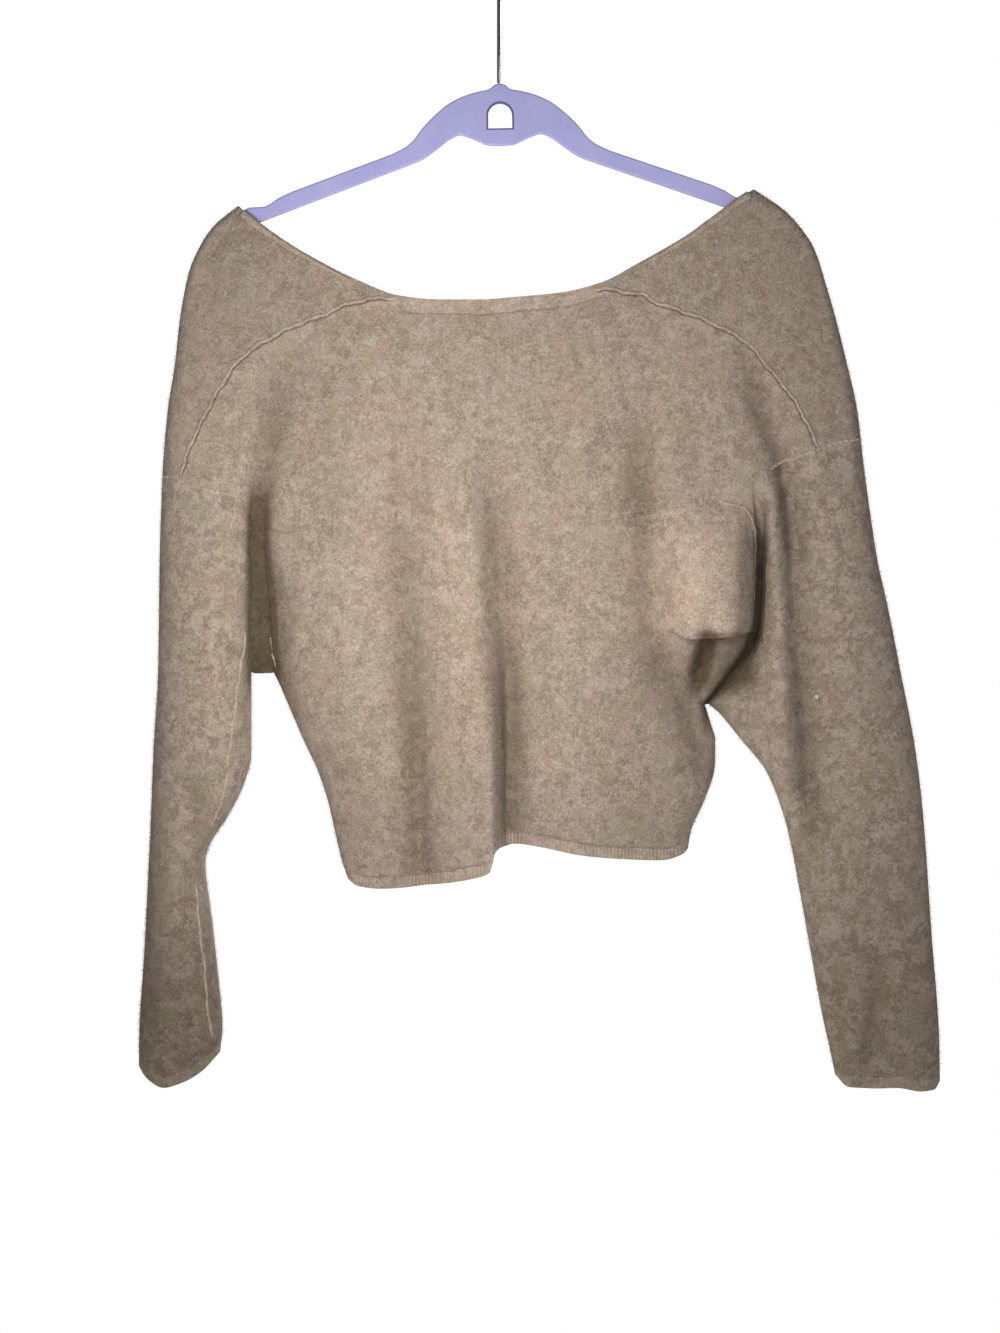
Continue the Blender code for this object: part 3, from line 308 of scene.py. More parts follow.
# The lobe's lower edge hangs over the ledge.
SAG = dict(x=0.1545, half_width=0.026, above=0.022, full=0.002, past=0.001, by=0.010)
POCKET = dict(
    x=0.1488, drop=0.520, lean=-0.17, half_width=0.0085, half_height=0.026, depth=0.019, rim=2.5
)
# Where painted shade darkens the felt under the lobe's ledge.
UNDERSIDE = dict(x=0.1670, half_width=0.024, below=0.003, fade=0.018)
# The sleeves' middle planes drift forwards or back as they hang.
LEFT_SWING = dict(top=0.56, bottom=0.82, by=-0.007)
RIGHT_SWING = dict(top=0.60, bottom=0.83, by=0.005)

# ---------------------------------------------------------------- dressing sizes
# Painted light and shade in the felt's colour: how dark shade is painted into each kind of crease, tuck,
# pocket, the neck roll's crease and the sleeves' ends, how pale a painted highlight makes fold ridges and
# the lobe's face, and how strongly that shows.
PAINTED_SHADING = dict(
    trough=0.40, ridge=0.22, full_fold=0.009, tuck=1.0, under_ledge=0.66, pocket=1.0, lobe=0.85,
    arm_ends={"left": 0.50, "right": 0.27}, roll=0.85, roll_at=0.0080, roll_width=0.0016,
    tone=0.88, highlight_tone=0.75,
)
ARM_END_SHADE = (0.60, 0.80)  # drops over which painted shade makes the sleeves' ends darker, standing in for the light's falloff
# Each tuck's shade: where it opens and ends, its reach on each side, and a paler halo.
TUCK_SHADES = (
    (LEFT_TUCK, 0.375, LEFT_CROTCH, 0.003, 0.006, 0.0),
    (RIGHT_TUCK, 0.390, RIGHT_CROTCH, 0.003, 0.003, 0.30),
)
TUCK_FADE = dict(top=0.05, bottom=0.03, halo=0.016)
# Where a painted highlight makes the lobe's face paler: the drops and x over which it fades in and out,
# and its fall at the ledge.
LOBE_FACE = dict(top=(0.392, 0.430), left=(0.108, 0.130), right=(0.181, 0.187), fall=0.004)
BEYOND_BAND = (0.085, 0.115)  # distance from the middle at which the neck's edge starts to roll
FELT_TONES = {
    "deep": (0.265, 0.205, 0.158),
    "brown": (0.415, 0.325, 0.258),
    "umber": (0.350, 0.268, 0.205),
    "beige": (0.505, 0.405, 0.328),
    "pale": (0.610, 0.505, 0.420),
    "rosy": (0.540, 0.385, 0.335),
    "olive": (0.455, 0.385, 0.275),
    "hair": (0.760, 0.660, 0.570),
}
FLECK_STOPS = ((0.32, "deep"), (0.44, "brown"), (0.52, "beige"), (0.64, "pale"))
FELT_DRIFT = (1.00, 0.99, 0.955)  # olive cast that comes and goes over the cloth
# Colours that painted shade and painted highlight multiply the felt by.
PAINTED_SHADE_TONE = (0.215, 0.180, 0.115)
PAINTED_HIGHLIGHT_TONE = (1.42, 1.40, 1.38)
# Noises of the felt: scale, detail, roughness, twist.
FELT_NOISES = {
    "clouds": (98.0, 6.0, 0.74, 0.2),
    "flecks": (190.0, 7.0, 0.80, 0.2),
    "rosy": (62.0, 6.0, 0.78, 0.0),
    "olive": (47.0, 6.0, 0.78, 0.0),
    "drift": (15.0, 2.0, 0.50, 0.0),
    "grain": (620.0, 3.0, 0.75, 0.6),
    "hairs": (430.0, 1.5, 0.50, 2.2),
    "hair_patches": (120.0, 3.0, 0.60, 0.0),
}
# How much of each tone the felt takes at most.
FELT_SHARES = dict(umber=0.92, pale=0.88, olive=0.60, hairs=0.50, dark_grain=0.55, pale_grain=0.60)
# Finishes of the felt: name, lightness, share of rosy flecks, contrast of its patches.
FELTS = {
    "felt": ("heathered felt", 0.91, 0.60, 1.2),
    # Painted shade: darker felt for the strips laid where a crease's shadow falls.
    "crease": ("felt in a band's crease", 0.76, 0.90, 1.0),
    "rib": ("heathered rib edge", 1.04, 0.60, 1.0),
    "hair": ("loose felt hair", 1.22, 0.60, 1.0),
    "thread": ("sewing thread", 0.64, 0.60, 1.0),
    # Paler felt on the raised seams and the rolled neck edge: a painted highlight on the ridges.
    "edge": ("raised felt edge", 1.0, 0.60, 1.0),
    # Painted shadow: dark felt for the strip along each yoke seam's lower side.
    "foot": ("felt in the seam's foot", 0.45, 1.0, 1.0),
    "sleeve": ("heathered sleeve felt", 0.87, 0.60, 2.3),
    "pale": ("pale thread", 1.30, 0.60, 1.0),
    "yoke": ("heathered yoke felt", 0.85, 0.75, 1.0),
    # Paler felt on the sleeves' raised underarm seams: a painted highlight on the ridges.
    "sleeve edge": ("raised sleeve seam", 1.13, 0.60, 1.0),
}
PILL_TONE = (0.66, 0.58, 0.49)
VELVET = {
    "deep": (0.380, 0.370, 0.720), "lit": (0.575, 0.565, 0.945), "rubbed": (0.620, 0.610, 0.960)
}
# Painted shade: darker velvet on the window's walls and rounded edge.
VELVET_WINDOW_SHADE = (0.155, 0.140, 0.330)
# A felted seam: a soft ridge with a steep lower side, unit cross-section in RIDGE.
SEAM = dict(half_width=0.0017, height=0.0010, sway=0.0006, step=0.0014)
ARM_SEAM = dict(half_width=0.0016, height=0.0006, sway=0.0004, step=0.0014)
UNDERARM_SEAM = dict(half_width=0.0014, height=0.0011, sway=0.0005, step=0.0018)
LOBE_SEAM = dict(half_width=0.0015, height=0.0009, sway=0.0004, step=0.0018)
SEAM_SHADE = dict(half_width=0.0010, height=0.0003, sway=0.0006, step=0.0014)
BAND_SHADE = dict(half_width=0.0010, height=0.0003, sway=0.0005, step=0.0014)
RIDGE = (
    (-1.0, -0.4), (-0.82, 0.3), (-0.5, 0.8), (-0.1, 1.0), (0.3, 0.93), (0.6, 0.6), (0.75, 0.1),
    (0.8, -0.4),
)
RIDGE_TAPER = 0.006  # length over which a ridge sinks into the cloth at its ends
# How a ridge's width and height vary along it: share, wavelength, phase.
RIDGE_WAVES = {"half_width": (0.12, 0.017, 0.0), "height": (0.22, 0.0123, 0.8)}
FOOT_OFF = 1.15  # how far the painted shadow at a seam's foot lies from its middle, in half widths
SWAYS = ((0.0094, 0.3, 0.45), (0.0235, 1.9, 0.8), (0.0560, 4.1, 1.0))  # wavelength, phase, size
PATH_STEP = 0.0015
# The rolled neck edge: its ends' taper is a share of its length, its tip a share of its size.
NECK_ROLL = dict(
    radius=0.0034, down=0.0030, out=0.0017, wander=0.0009, taper=0.03, tip=0.1, least=0.12
)
BELOW_NECK = 0.0035  # how far under the neck's edge a raised seam starts
NECK_ROLL_SPANS = {
    "back": ((-0.1900, -0.1080), (0.1860, 0.0980)),
    "front": ((-0.1880, -0.1450), (0.1850, 0.1400)),
}
PILL = dict(x=0.2340, drop=0.5480, radius=0.0019)
RIB = dict(
    pitch=0.0026, half_width=0.0008, height=0.00055, sunk=0.0002, margin=0.002, facing=0.25,
    top=0.001 - HEM_DEPTH, bottom=-0.0006,
)
# A loose hair: how it is cut, how far it leans over (in radians) and its range of sizes.
HAIR = dict(width=0.00016, length=0.0030, curl=0.0007, lean=(0.95, 1.50), scale=(0.55, 1.35))
CORD_SIDES = 8
CORD_NOISE = 160.0
THREAD_SIDES = 6
HANGER_ROUND = 0.0013
HANGER_SHARP = math.radians(75)
# Seam ends that come out of the tucks, seen from the back.
SEAM_OVER_LOBE = table(
    "x drop",
    (0.1600, 0.4040), (0.1643, 0.4060), (0.1776, 0.4092), (0.1845, 0.4188), (0.1868, 0.4290),
    (0.1872, 0.4462), (0.1866, 0.4706), (0.1846, 0.4960),
)
UNDERARM_RIGHT = table(
    "x drop", (0.1985, 0.4470), (0.1962, 0.5062), (0.1958, 0.5506), (0.2000, 0.5950), (0.2090, 0.6300)
)
UNDERARM_LEFT = table(
    "x drop",
    (-0.1870, 0.5010), (-0.1902, 0.5284), (-0.1950, 0.5639), (-0.1968, 0.5831), (-0.1998, 0.6083),
    (-0.2040, 0.6246), (-0.2110, 0.6431),
)
UNDERARM_LEFT_LOW = table(
    "x drop", (-0.2230, 0.6838), (-0.2190, 0.7208), (-0.2130, 0.7800), (-0.2110, 0.7980)
)
BODY_SIDE_LEFT = table("x drop", (-0.1690, 0.5040), (-0.1672, 0.5140), (-0.1640, 0.5260))
# Raised seams, with the drop where a yoke's seam meets its armhole.
RAISED_SEAMS = (
    (YOKE_LEFT, 0.3866), (YOKE_RIGHT, 0.3660), (ARMHOLE_LEFT_TOP, None), (ARMHOLE_RIGHT_TOP, None)
)
STITCH_FACING = 0.55  # stitches stop where the cloth turns away round its fold
ARM_SEAM_ENDS = (-0.1880, 0.1990)  # x where each armhole's raised seam dies out at its tuck
# Stitch lines along the bands: side, edge, distance below it and the span of x.
STITCH_LINES = (
    ("back", BACK_NECK, NECK_DEPTH, -0.0720, 0.0780),
    ("front", FRONT_NECK, NECK_DEPTH, -0.1200, 0.1150),
    ("back", BACK_HEM, -HEM_DEPTH, -0.1040, 0.1330),
    ("front", FRONT_HEM, -HEM_DEPTH, -0.1040, 0.1330),
)
BAND_STITCH = dict(Spacing=0.0024, Length=0.0019, Thickness=0.00028, Turn=0.25, Seed=3)
SEAM_STITCH = dict(Spacing=0.0044, Length=0.0030, Thickness=0.00050, Turn=0.9, Seed=5)
# Loose hairs to a square metre of each piece's outside.
FUZZ = {
    "back_panel": 330000.0, "front_panel": 200000.0, "yoke_left": 330000.0, "yoke_right": 330000.0,
    "sleeve_left": 300000.0, "sleeve_right": 300000.0,
}
FUZZ_SEED = 40
# Each cut: its finish, width, length, area, and what it hangs from.
CUTS = {
    "back_panel": ("felt", 0.480, 0.440, 0.146, ["yoke_left", "yoke_right"]),
    "front_panel": ("felt", 0.480, 0.400, 0.132, ["yoke_left", "yoke_right"]),
    "yoke_left": ("yoke", 0.190, 0.250, 0.0265, ["hanger_body"]),
    "yoke_right": ("yoke", 0.190, 0.250, 0.0265, ["hanger_body"]),
    "sleeve_left": ("sleeve", 0.250, 0.475, 0.0900, ["yoke_left"]),
    "sleeve_right": ("sleeve", 0.250, 0.475, 0.0900, ["yoke_right"]),
    "neck_band_back": ("rib", 0.186, 0.0115, 0.00175, ["back_panel"]),
    "neck_band_front": ("rib", 0.290, 0.0115, 0.00286, ["front_panel"]),
    "hem_band": ("rib", 0.560, 0.0100, 0.00505, ["back_panel", "front_panel"]),
    "cuff_left": ("rib", 0.160, 0.0100, 0.00130, ["sleeve_left"]),
    "cuff_right": ("rib", 0.160, 0.0100, 0.00130, ["sleeve_right"]),
}
# What is sewn or caught on each of them.
SEWN_ON = {
    "back_panel": (
        "raised_seams", "armhole_seams", "underarm_seams", "left_underarm_seams",
        "sunk_underarm_seam", "seam_feet", "seam_stitches", "rolled_neck_edges",
    ),
    "hem_band": ("hem_ribs", "band_stitches", "band_creases"),
    "sleeve_right": ("wool_pill",),
}
FLOOR = dict(z=-1.75, radius=2.2)
SURROUND = dict(Color=(0.97, 0.98, 1.0), Strength=0.11)
FLOOR_GLOW = 0.55
SENSOR = 24.0
CAMERA = dict(distance=2.1, field=0.98642, x=0.00074, z=-0.52577)
LIGHTS = (
    ("key", (-0.10, -0.48, -0.40), (0.0, 0.0, -0.46), 0.20, 2.00, (1.0, 0.985, 0.96)),
    ("fill", (0.35, -1.20, -0.10), (0.0, 0.0, -0.46), 0.6, 2.4, (0.98, 0.99, 1.0)),
    ("back", (0.50, 1.80, 0.40), (0.0, 0.0, -0.45), 1.2, 38.0, (1.0, 0.99, 0.97)),
)


# ---------------------------------------------------------------- curves
def smooth(knots, values, at):
    """Cubic through the knots with no overshoot, held level past both ends."""
    step = np.diff(knots)
    slope = np.diff(values) / step
    tangent = np.empty(len(knots))
    tangent[0], tangent[-1] = slope[0], slope[-1]
    same = slope[:-1] * slope[1:] > 0
    safe = np.where(same, slope[:-1] * slope[1:], 1.0)
    total = slope[:-1] + slope[1:]
    tangent[1:-1] = np.where(same, 2 * safe / np.where(same, total, 1.0), 0.0)
    i = np.clip(np.searchsorted(knots, at) - 1, 0, len(knots) - 2)
    t = np.clip((at - knots[i]) / step[i], 0, 1)
    ease = t * t * (3 - 2 * t)
    lift = step[i] * (t * (1 - t) ** 2 * tangent[i] - t * t * (1 - t) * tangent[i + 1])
    return values[i] * (1 - ease) + values[i + 1] * ease + lift


def read(rows, column, at, by="drop"):
    """A column of a table at each drop, or at each value of another column."""
    return smooth(rows[by], rows[column], np.asarray(at, float))


def ramp(low, high, value):
    """0 below low, 1 above high and eased between them."""
    t = np.clip((value - low) / (high - low), 0, 1)
    return t * t * (3 - 2 * t)


def crowded(count, places, strength=5.0, reach=0.05):
    """Shares from 0 to 1 in count steps, closer together near each place."""
    fine = np.linspace(0, 1, 2001)
    density = 1 + sum(strength * np.exp(-((fine - place) / reach) ** 2) for place in places)
    total = np.concatenate([[0], np.cumsum((density[1:] + density[:-1]) / 2)])
    return np.interp(np.linspace(0, total[-1], count + 1), total, fine)


def dome(share, power):
    """0 at both ends of the share, 1 half way: a superellipse."""
    return (1 - np.abs(2 * share - 1) ** power) ** (1 / power)


def coons(top, bottom, left, right, share, fall):
    """Points (x, drop) of the patch between four edge curves, which are functions."""
    corner = [top(0.0), top(1.0), bottom(0.0), bottom(1.0)]
    s, t = share[..., None], fall[..., None]
    ruled = (1 - t) * top(share) + t * bottom(share) + (1 - s) * left(fall) + s * right(fall)
    flat = (1 - t) * ((1 - s) * corner[0] + s * corner[1])
    return ruled - flat - t * ((1 - s) * corner[2] + s * corner[3])


def across(rows):
    """Edge curve that runs from side to side, from a table of x and drop."""

    def curve(share):
        x = rows["x"][0] + (rows["x"][-1] - rows["x"][0]) * np.asarray(share)
        return np.stack([x, read(rows, "drop", x, by="x")], axis=-1)

    return curve


def down(rows, start, end):
    """Edge curve that runs down, from a table of drop and x."""

    def curve(share):
        drop = start + (end - start) * np.asarray(share)
        return np.stack([read(rows, "x", drop), drop], axis=-1)

    return curve


def level(left, right):
    """Straight edge curve between two points, eased at its ends."""

    def curve(share):
        share = np.asarray(share)
        x = left[0] + (right[0] - left[0]) * share
        return np.stack([x, left[1] + (right[1] - left[1]) * ramp(0, 1, share)], axis=-1)

    return curve


def polyline_distance(x, drop, line):
    """Distance to a line of points, positive on its left as it runs, and the nearest point."""
    start, end = line[:-1], line[1:]
    run = end - start
    point = np.stack([x, drop], axis=-1)[..., None, :]
    share = ((point - start) * run).sum(-1) / (run**2).sum(-1)
    nearest = start + np.clip(share, 0, 1)[..., None] * run
    away = point - nearest
    length = np.hypot(away[..., 0], away[..., 1])
    pick = length.argmin(-1)[..., None]
    side = np.sign(run[..., 0] * away[..., 1] - run[..., 1] * away[..., 0])
    side = np.take_along_axis(side, pick, -1)[..., 0]
    best = np.take_along_axis(nearest, pick[..., None], -2)[..., 0, :]
    return side * np.take_along_axis(length, pick, -1)[..., 0], best


def rounded(rows, count=60):
    """Points (x, drop) spread evenly along the smooth curve through a table."""
    x = rows["x"]
    along = np.concatenate([[0], np.cumsum(np.hypot(np.diff(x), np.diff(rows["drop"])))])
    at = np.linspace(0, along[-1], count)
    return np.stack([smooth(along, x, at), smooth(along, rows["drop"], at)], axis=-1)


def tuck_line(tuck):
    """The armhole seam where it runs down a tuck."""
    drop = np.linspace(SEAM_LEAVES_TOP, tuck["drop"][-1], 24)
    line = np.stack([read(tuck, "seam", drop), drop], axis=-1)
    return np.vstack([line, line[-1] + (0, PAST_CROTCH)])


SEAMS = {
    "yoke_left": rounded(YOKE_LEFT),
    "yoke_right": rounded(YOKE_RIGHT)[::-1],
    "arm_left": np.vstack([rounded(ARMHOLE_LEFT_TOP), tuck_line(LEFT_TUCK)]),
    "arm_right": np.vstack([rounded(ARMHOLE_RIGHT_TOP), tuck_line(RIGHT_TUCK)])[::-1],
}


# ---------------------------------------------------------------- depth of the cloth
def ridges(rows, x, drop):
    """Sum of the heights of a table's folds at each point."""
    total = np.zeros_like(x)
    for i in range(len(rows["x"])):
        span = rows["end_drop"][i] - rows["drop"][i]
        share = (drop - rows["drop"][i]) / span
        off = x - rows["x"][i] - (rows["end_x"][i] - rows["x"][i]) * share
        width = np.where(off < 0, rows["left"][i], rows["right"][i])
        fade = ramp(0, FOLD_RISE, share) * ramp(0, FOLD_FALL, 1 - share)
        total += rows["height"][i] * fade * np.exp(-((off / width) ** 2))
    return total


def from_pocket(x, drop):
    """0 at the middle of the leaning pocket under the ledge, 1 at its rim."""
    below = drop - POCKET["drop"]
    across_it = (x - POCKET["x"] - POCKET["lean"] * below) / POCKET["half_width"]
    return across_it**2 + (below / POCKET["half_height"]) ** 2


def lobe(x, drop):
    """The full lobe over the right tuck, with the ledge and pocket under it."""
    sideways = np.exp(-(((x - LOBE["x"]) / LOBE["half_width"]) ** 6))
    lengthways = ramp(LOBE["top"], LOBE["full"], drop)
    lengthways = lengthways * (1 - ramp(LOBE["ledge"], LOBE["ledge"] + LOBE["fall"], drop))
    return LOBE["height"] * sideways * lengthways - POCKET["depth"] * np.exp(-from_pocket(x, drop))


def sag(x, drop):
    """How far a point of the back is pulled down where the lobe hangs over its ledge."""
    sideways = np.exp(-(((x - SAG["x"]) / SAG["half_width"]) ** 8))
    above = ramp(LOBE["ledge"] - SAG["above"], LOBE["ledge"] - SAG["full"], drop)
    below = 1 - ramp(LOBE["ledge"] + SAG["past"], LOBE["ledge"] + LOBE["fall"], drop)
    return SAG["by"] * sideways * above * below


def tuck_shades(x, drop):
    """What the tucks add to the painted shade in the felt's colour: each tuck's shade, then its halo."""
    for tuck, opens, crotch, before, after, halo in TUCK_SHADES:
        edges = [read(tuck, name, drop) for name in ("sleeve", "body")]
        away = np.minimum(x - np.minimum(*edges), 0) / before
        away = away + np.maximum(x - np.maximum(*edges), 0) / after
        span = ramp(opens, opens + TUCK_FADE["top"], drop)
        span = span * (1 - ramp(crotch, crotch + TUCK_FADE["bottom"], drop))
        yield PAINTED_SHADING["tuck"] * span * np.exp(-(away**2))
        past = x - edges[0]
        fade = np.exp(-((past / TUCK_FADE["halo"]) ** 4)) * span
        yield halo * ramp(-0.001, 0.001, past) * fade


def pressed(side, part, x, drop, start):
    """Painted light and shade in the felt's colour: up to 1 where shade is painted darker into fold
    troughs, tucks, the pocket, under the ledge, the neck roll's crease and the sleeves' ends, down to -1
    where a painted highlight makes fold ridges and the lobe's face paler."""
    folds = ridges(BACK_FOLDS if side == "back" else FRONT_FOLDS, x, drop)
    folds = folds + ridges(LEFT_SLEEVE_FOLDS, x, drop) + ridges(RIGHT_SLEEVE_FOLDS, x, drop)
    # Painted shade in the folds' troughs and a painted highlight on their ridges.
    total = PAINTED_SHADING["trough"] * np.clip(-folds / PAINTED_SHADING["full_fold"], 0, 1)
    total = total - PAINTED_SHADING["ridge"] * np.clip(folds / PAINTED_SHADING["full_fold"], 0, 1)
    total = total + PAINTED_SHADING["arm_ends"].get(part, 0) * ramp(*ARM_END_SHADE, drop)
    total = sum(tuck_shades(x, drop), total)
    # Painted shade under the lobe's ledge and in the pocket, and a painted highlight on the lobe's face.
    if side == "back":
        sideways = np.exp(-(((x - UNDERSIDE["x"]) / UNDERSIDE["half_width"]) ** 8))
        ledge = LOBE["ledge"]
        under = ramp(ledge + UNDERSIDE["below"], ledge + LOBE["fall"], drop)
        under = under * (1 - ramp(RIGHT_CROTCH - UNDERSIDE["fade"], RIGHT_CROTCH, drop))
        total = total + PAINTED_SHADING["under_ledge"] * sideways * under
        total = total + PAINTED_SHADING["pocket"] * np.exp(-from_pocket(x, drop) ** POCKET["rim"])
        face = ramp(*LOBE_FACE["top"], drop) * (1 - ramp(ledge, ledge + LOBE_FACE["fall"], drop))
        face = face * ramp(*LOBE_FACE["left"], x) * (1 - ramp(*LOBE_FACE["right"], x))
        total = total * (1 - face) - PAINTED_SHADING["lobe"] * face
    # Painted shade in the crease under the rolled neck edge.
    if part == "shoulders":
        beyond_band = ramp(*BEYOND_BAND, np.abs(x))
        from_roll = (start - PAINTED_SHADING["roll_at"]) / PAINTED_SHADING["roll_width"]
        total = total + PAINTED_SHADING["roll"] * beyond_band * np.exp(-(from_roll**2))
    return np.clip(total, -1, 1)


def from_outline(x, drop):
    """Distance in from the nearer outer fold line."""
    lines = []
    for rows in (LEFT_OUTLINE, RIGHT_OUTLINE):
        at = np.linspace(rows["drop"][0], rows["drop"][-1], 90)
        lines.append(np.abs(polyline_distance(x, drop, np.stack([read(rows, "x", at), at], -1))[0]))
    return np.minimum(*lines)


def rise(distance, fold, full):
    """Half depth at a distance from a fold line: a round fold, then a slow swell."""
    near = np.clip(distance / fold, 0, 1)
    far = np.clip(distance / EDGE_REACH, 0, 1)
    return fold * np.sqrt(1 - (1 - near) ** 2) + (full - fold) * (1 - (1 - far) ** 2)


def tucked_depth(side, strip, share, drop, distance, closing):
    """Half depth above the crotches without folds: one cloth, closed more and more by the
    two tucks."""
    open_depth = rise(distance, read(DEPTH, "fold", drop), read(DEPTH, side, drop))
    floor = {part: read(TUCKING, part + "_floor", drop) for part in closing}
    depth = open_depth
    for part, sleeve, web, toward in (("left", 0, 1, 1 - share), ("right", 4, 3, share)):
        k, low = closing[part], floor[part]
        crown = read(DEPTH, f"{part}_{side}", drop)
        inner = 1 - toward
        closed = low * inner + (crown - low * inner) * dome(share, SLEEVE_FULLNESS)
        depth = np.where(strip == sleeve, (1 - k) * open_depth + k * closed, depth)
        depth = np.where(strip == web, (1 - k) * open_depth + k * low, depth)
    for part, from_tuck in (("left", share), ("right", 1 - share)):
        dip = closing[part] * (1 - dome(np.minimum(from_tuck, 0.5), BODY_FULLNESS))
        depth = np.where(strip == 2, depth - dip * (open_depth - floor[part]), depth)
    return depth


def shoulder_folds(side, strip, share, x, drop, distance, closing):
    """Heights of the folds above the crotches. They run on across a tuck where it is still
    open, and end at it where it has closed."""
    body = strip == 2
    edge = dome(share, FOLD_FULLNESS)
    nearer = np.where(share < 0.5, closing["left"], closing["right"])
    outside = np.where(strip < 2, closing["left"], closing["right"])
    body_ease = np.where(body, 1 - nearer * (1 - edge), 1 - outside)
    body_ease = body_ease * np.clip(distance / BODY_FADE, 0, 1)
    folds = ridges(BACK_FOLDS if side == "back" else FRONT_FOLDS, x, drop) * body_ease
    for part, rows, own in (("left", LEFT_SLEEVE_FOLDS, 0), ("right", RIGHT_SLEEVE_FOLDS, 4)):
        k = closing[part]
        sleeve_ease = np.where(strip == own, 1 - k * (1 - edge), 1 - k)
        folds = folds + ridges(rows, x, drop) * sleeve_ease * np.clip(distance / SLEEVE_FADE, 0, 1)
    if side == "back":
        folds = folds + lobe(x, drop) * dome(share, LOBE_FULLNESS) * body
    return folds


def shoulder_depth(side, strip, share, x, drop):
    """Half depth above the crotches, where sleeves and body are one cloth."""
    distance = from_outline(x, drop)
    closing = {part: read(TUCKING, part, drop) for part in ("left", "right")}
    depth = tucked_depth(side, strip, share, drop, distance, closing)
    return depth + shoulder_folds(side, strip, share, x, drop, distance, closing)


def tube_depth(side, part, share, x, drop):
    """Half depth of a closed tube below the crotches."""
    column = side if part == "body" else f"{part}_{side}"
    fullness = BODY_FULLNESS if part == "body" else SLEEVE_FULLNESS
    depth = read(DEPTH, column, drop) * dome(share, fullness)
    if part == "body":
        folds = ridges(BACK_FOLDS if side == "back" else FRONT_FOLDS, x, drop)
        if side == "back":
            folds = folds + lobe(x, drop)
    else:
        folds = ridges(LEFT_SLEEVE_FOLDS if part == "left" else RIGHT_SLEEVE_FOLDS, x, drop)
    return depth + folds * dome(share, FOLD_FULLNESS)


def swing(x, drop):
    """How far the sleeves' middle planes lie from the body's, which is y = 0."""
    left = ramp(LEFT_SWING["top"], LEFT_SWING["bottom"], drop) * (x < LEFT_TUCK["sleeve"][0])
    right = ramp(RIGHT_SWING["top"], RIGHT_SWING["bottom"], drop) * (x > -LEFT_TUCK["sleeve"][0])
    return LEFT_SWING["by"] * left + RIGHT_SWING["by"] * right


# ---------------------------------------------------------------- the whole cloth as grids
def smaller_step(x, drop, axis):
    """At each point of a grid, the distance to the nearer of its two neighbours on an axis."""
    step = np.hypot(np.diff(x, axis=axis), np.diff(drop, axis=axis))
    before, after = [(0, 0), (0, 0)], [(0, 0), (0, 0)]
    before[axis], after[axis] = (1, 0), (0, 1)
    return np.minimum(np.pad(step, before, mode="edge"), np.pad(step, after, mode="edge"))


def snapped(x, drop):
    """Moves points that lie close to a seam onto it, so that cutting there leaves no slivers."""
    reach = smaller_step(x, drop, 0)
    reach[:, 1:-1] = np.minimum(reach, smaller_step(x, drop, 1))[:, 1:-1]
    for line in SEAMS.values():
        distance, nearest = polyline_distance(x, drop, line)
        close = np.abs(distance) < SNAP * reach
        close[0] = False  # the neck's edge keeps its curve
        x = np.where(close, nearest[..., 0], x)
        drop = np.where(close, nearest[..., 1], drop)
    return x, drop


def body_columns():
    """Shares across the body, closer together at its edges and at the sharp middle fold."""
    edges = crowded(BODY_COLUMNS, (0, 1), 4.0, 0.03)
    even = np.linspace(0, 1, BODY_COLUMNS + 1)
    at = float(np.interp(MIDDLE_FOLD_AT, edges, even))
    return np.interp(crowded(BODY_COLUMNS, (at,), 2.0, MIDDLE_FOLD_REACH), even, edges)


def shoulder_strips():
    """For each column across the shoulders, its strip (sleeve, web, body, web, sleeve) and
    its share across that strip."""
    ends = crowded(SLEEVE_COLUMNS, (0, 1))
    web = np.linspace(0, 1, WEB_COLUMNS + 1)
    shares = [ends, web, body_columns(), web, ends]
    strip = np.concatenate([np.full(len(s) - (i < 4), i) for i, s in enumerate(shares)])
    share = np.concatenate([s[: len(s) - (i < 4)] for i, s in enumerate(shares)])
    return strip, share


def shoulder_row(strip, share, left_drop, right_drop):
    """Places (x, drop) across both sleeves and the body, from the drops of the two halves."""
    marks = [read(LEFT_OUTLINE, "x", left_drop)]
    marks += [read(LEFT_TUCK, name, left_drop) for name in ("sleeve", "seam", "body")]
    marks += [read(RIGHT_TUCK, name, right_drop) for name in ("body", "seam", "sleeve")]
    marks.append(read(RIGHT_OUTLINE, "x", right_drop))
    x = np.empty(len(share))
    for i, (start, middle, end) in enumerate([(0, 1, 1), (1, 2, 3), (3, 4, 4), (4, 5, 6), (6, 7, 7)]):
        here = strip == i
        s = share[here]
        if i in (1, 3):
            x[here] = np.interp(s, (0, 0.5, 1), (marks[start], marks[middle], marks[end]))
        else:
            x[here] = marks[start] + (marks[end] - marks[start]) * s
    body = np.where(strip == 2, ramp(0, 1, share), strip > 2)
    return x, left_drop + (right_drop - left_drop) * body


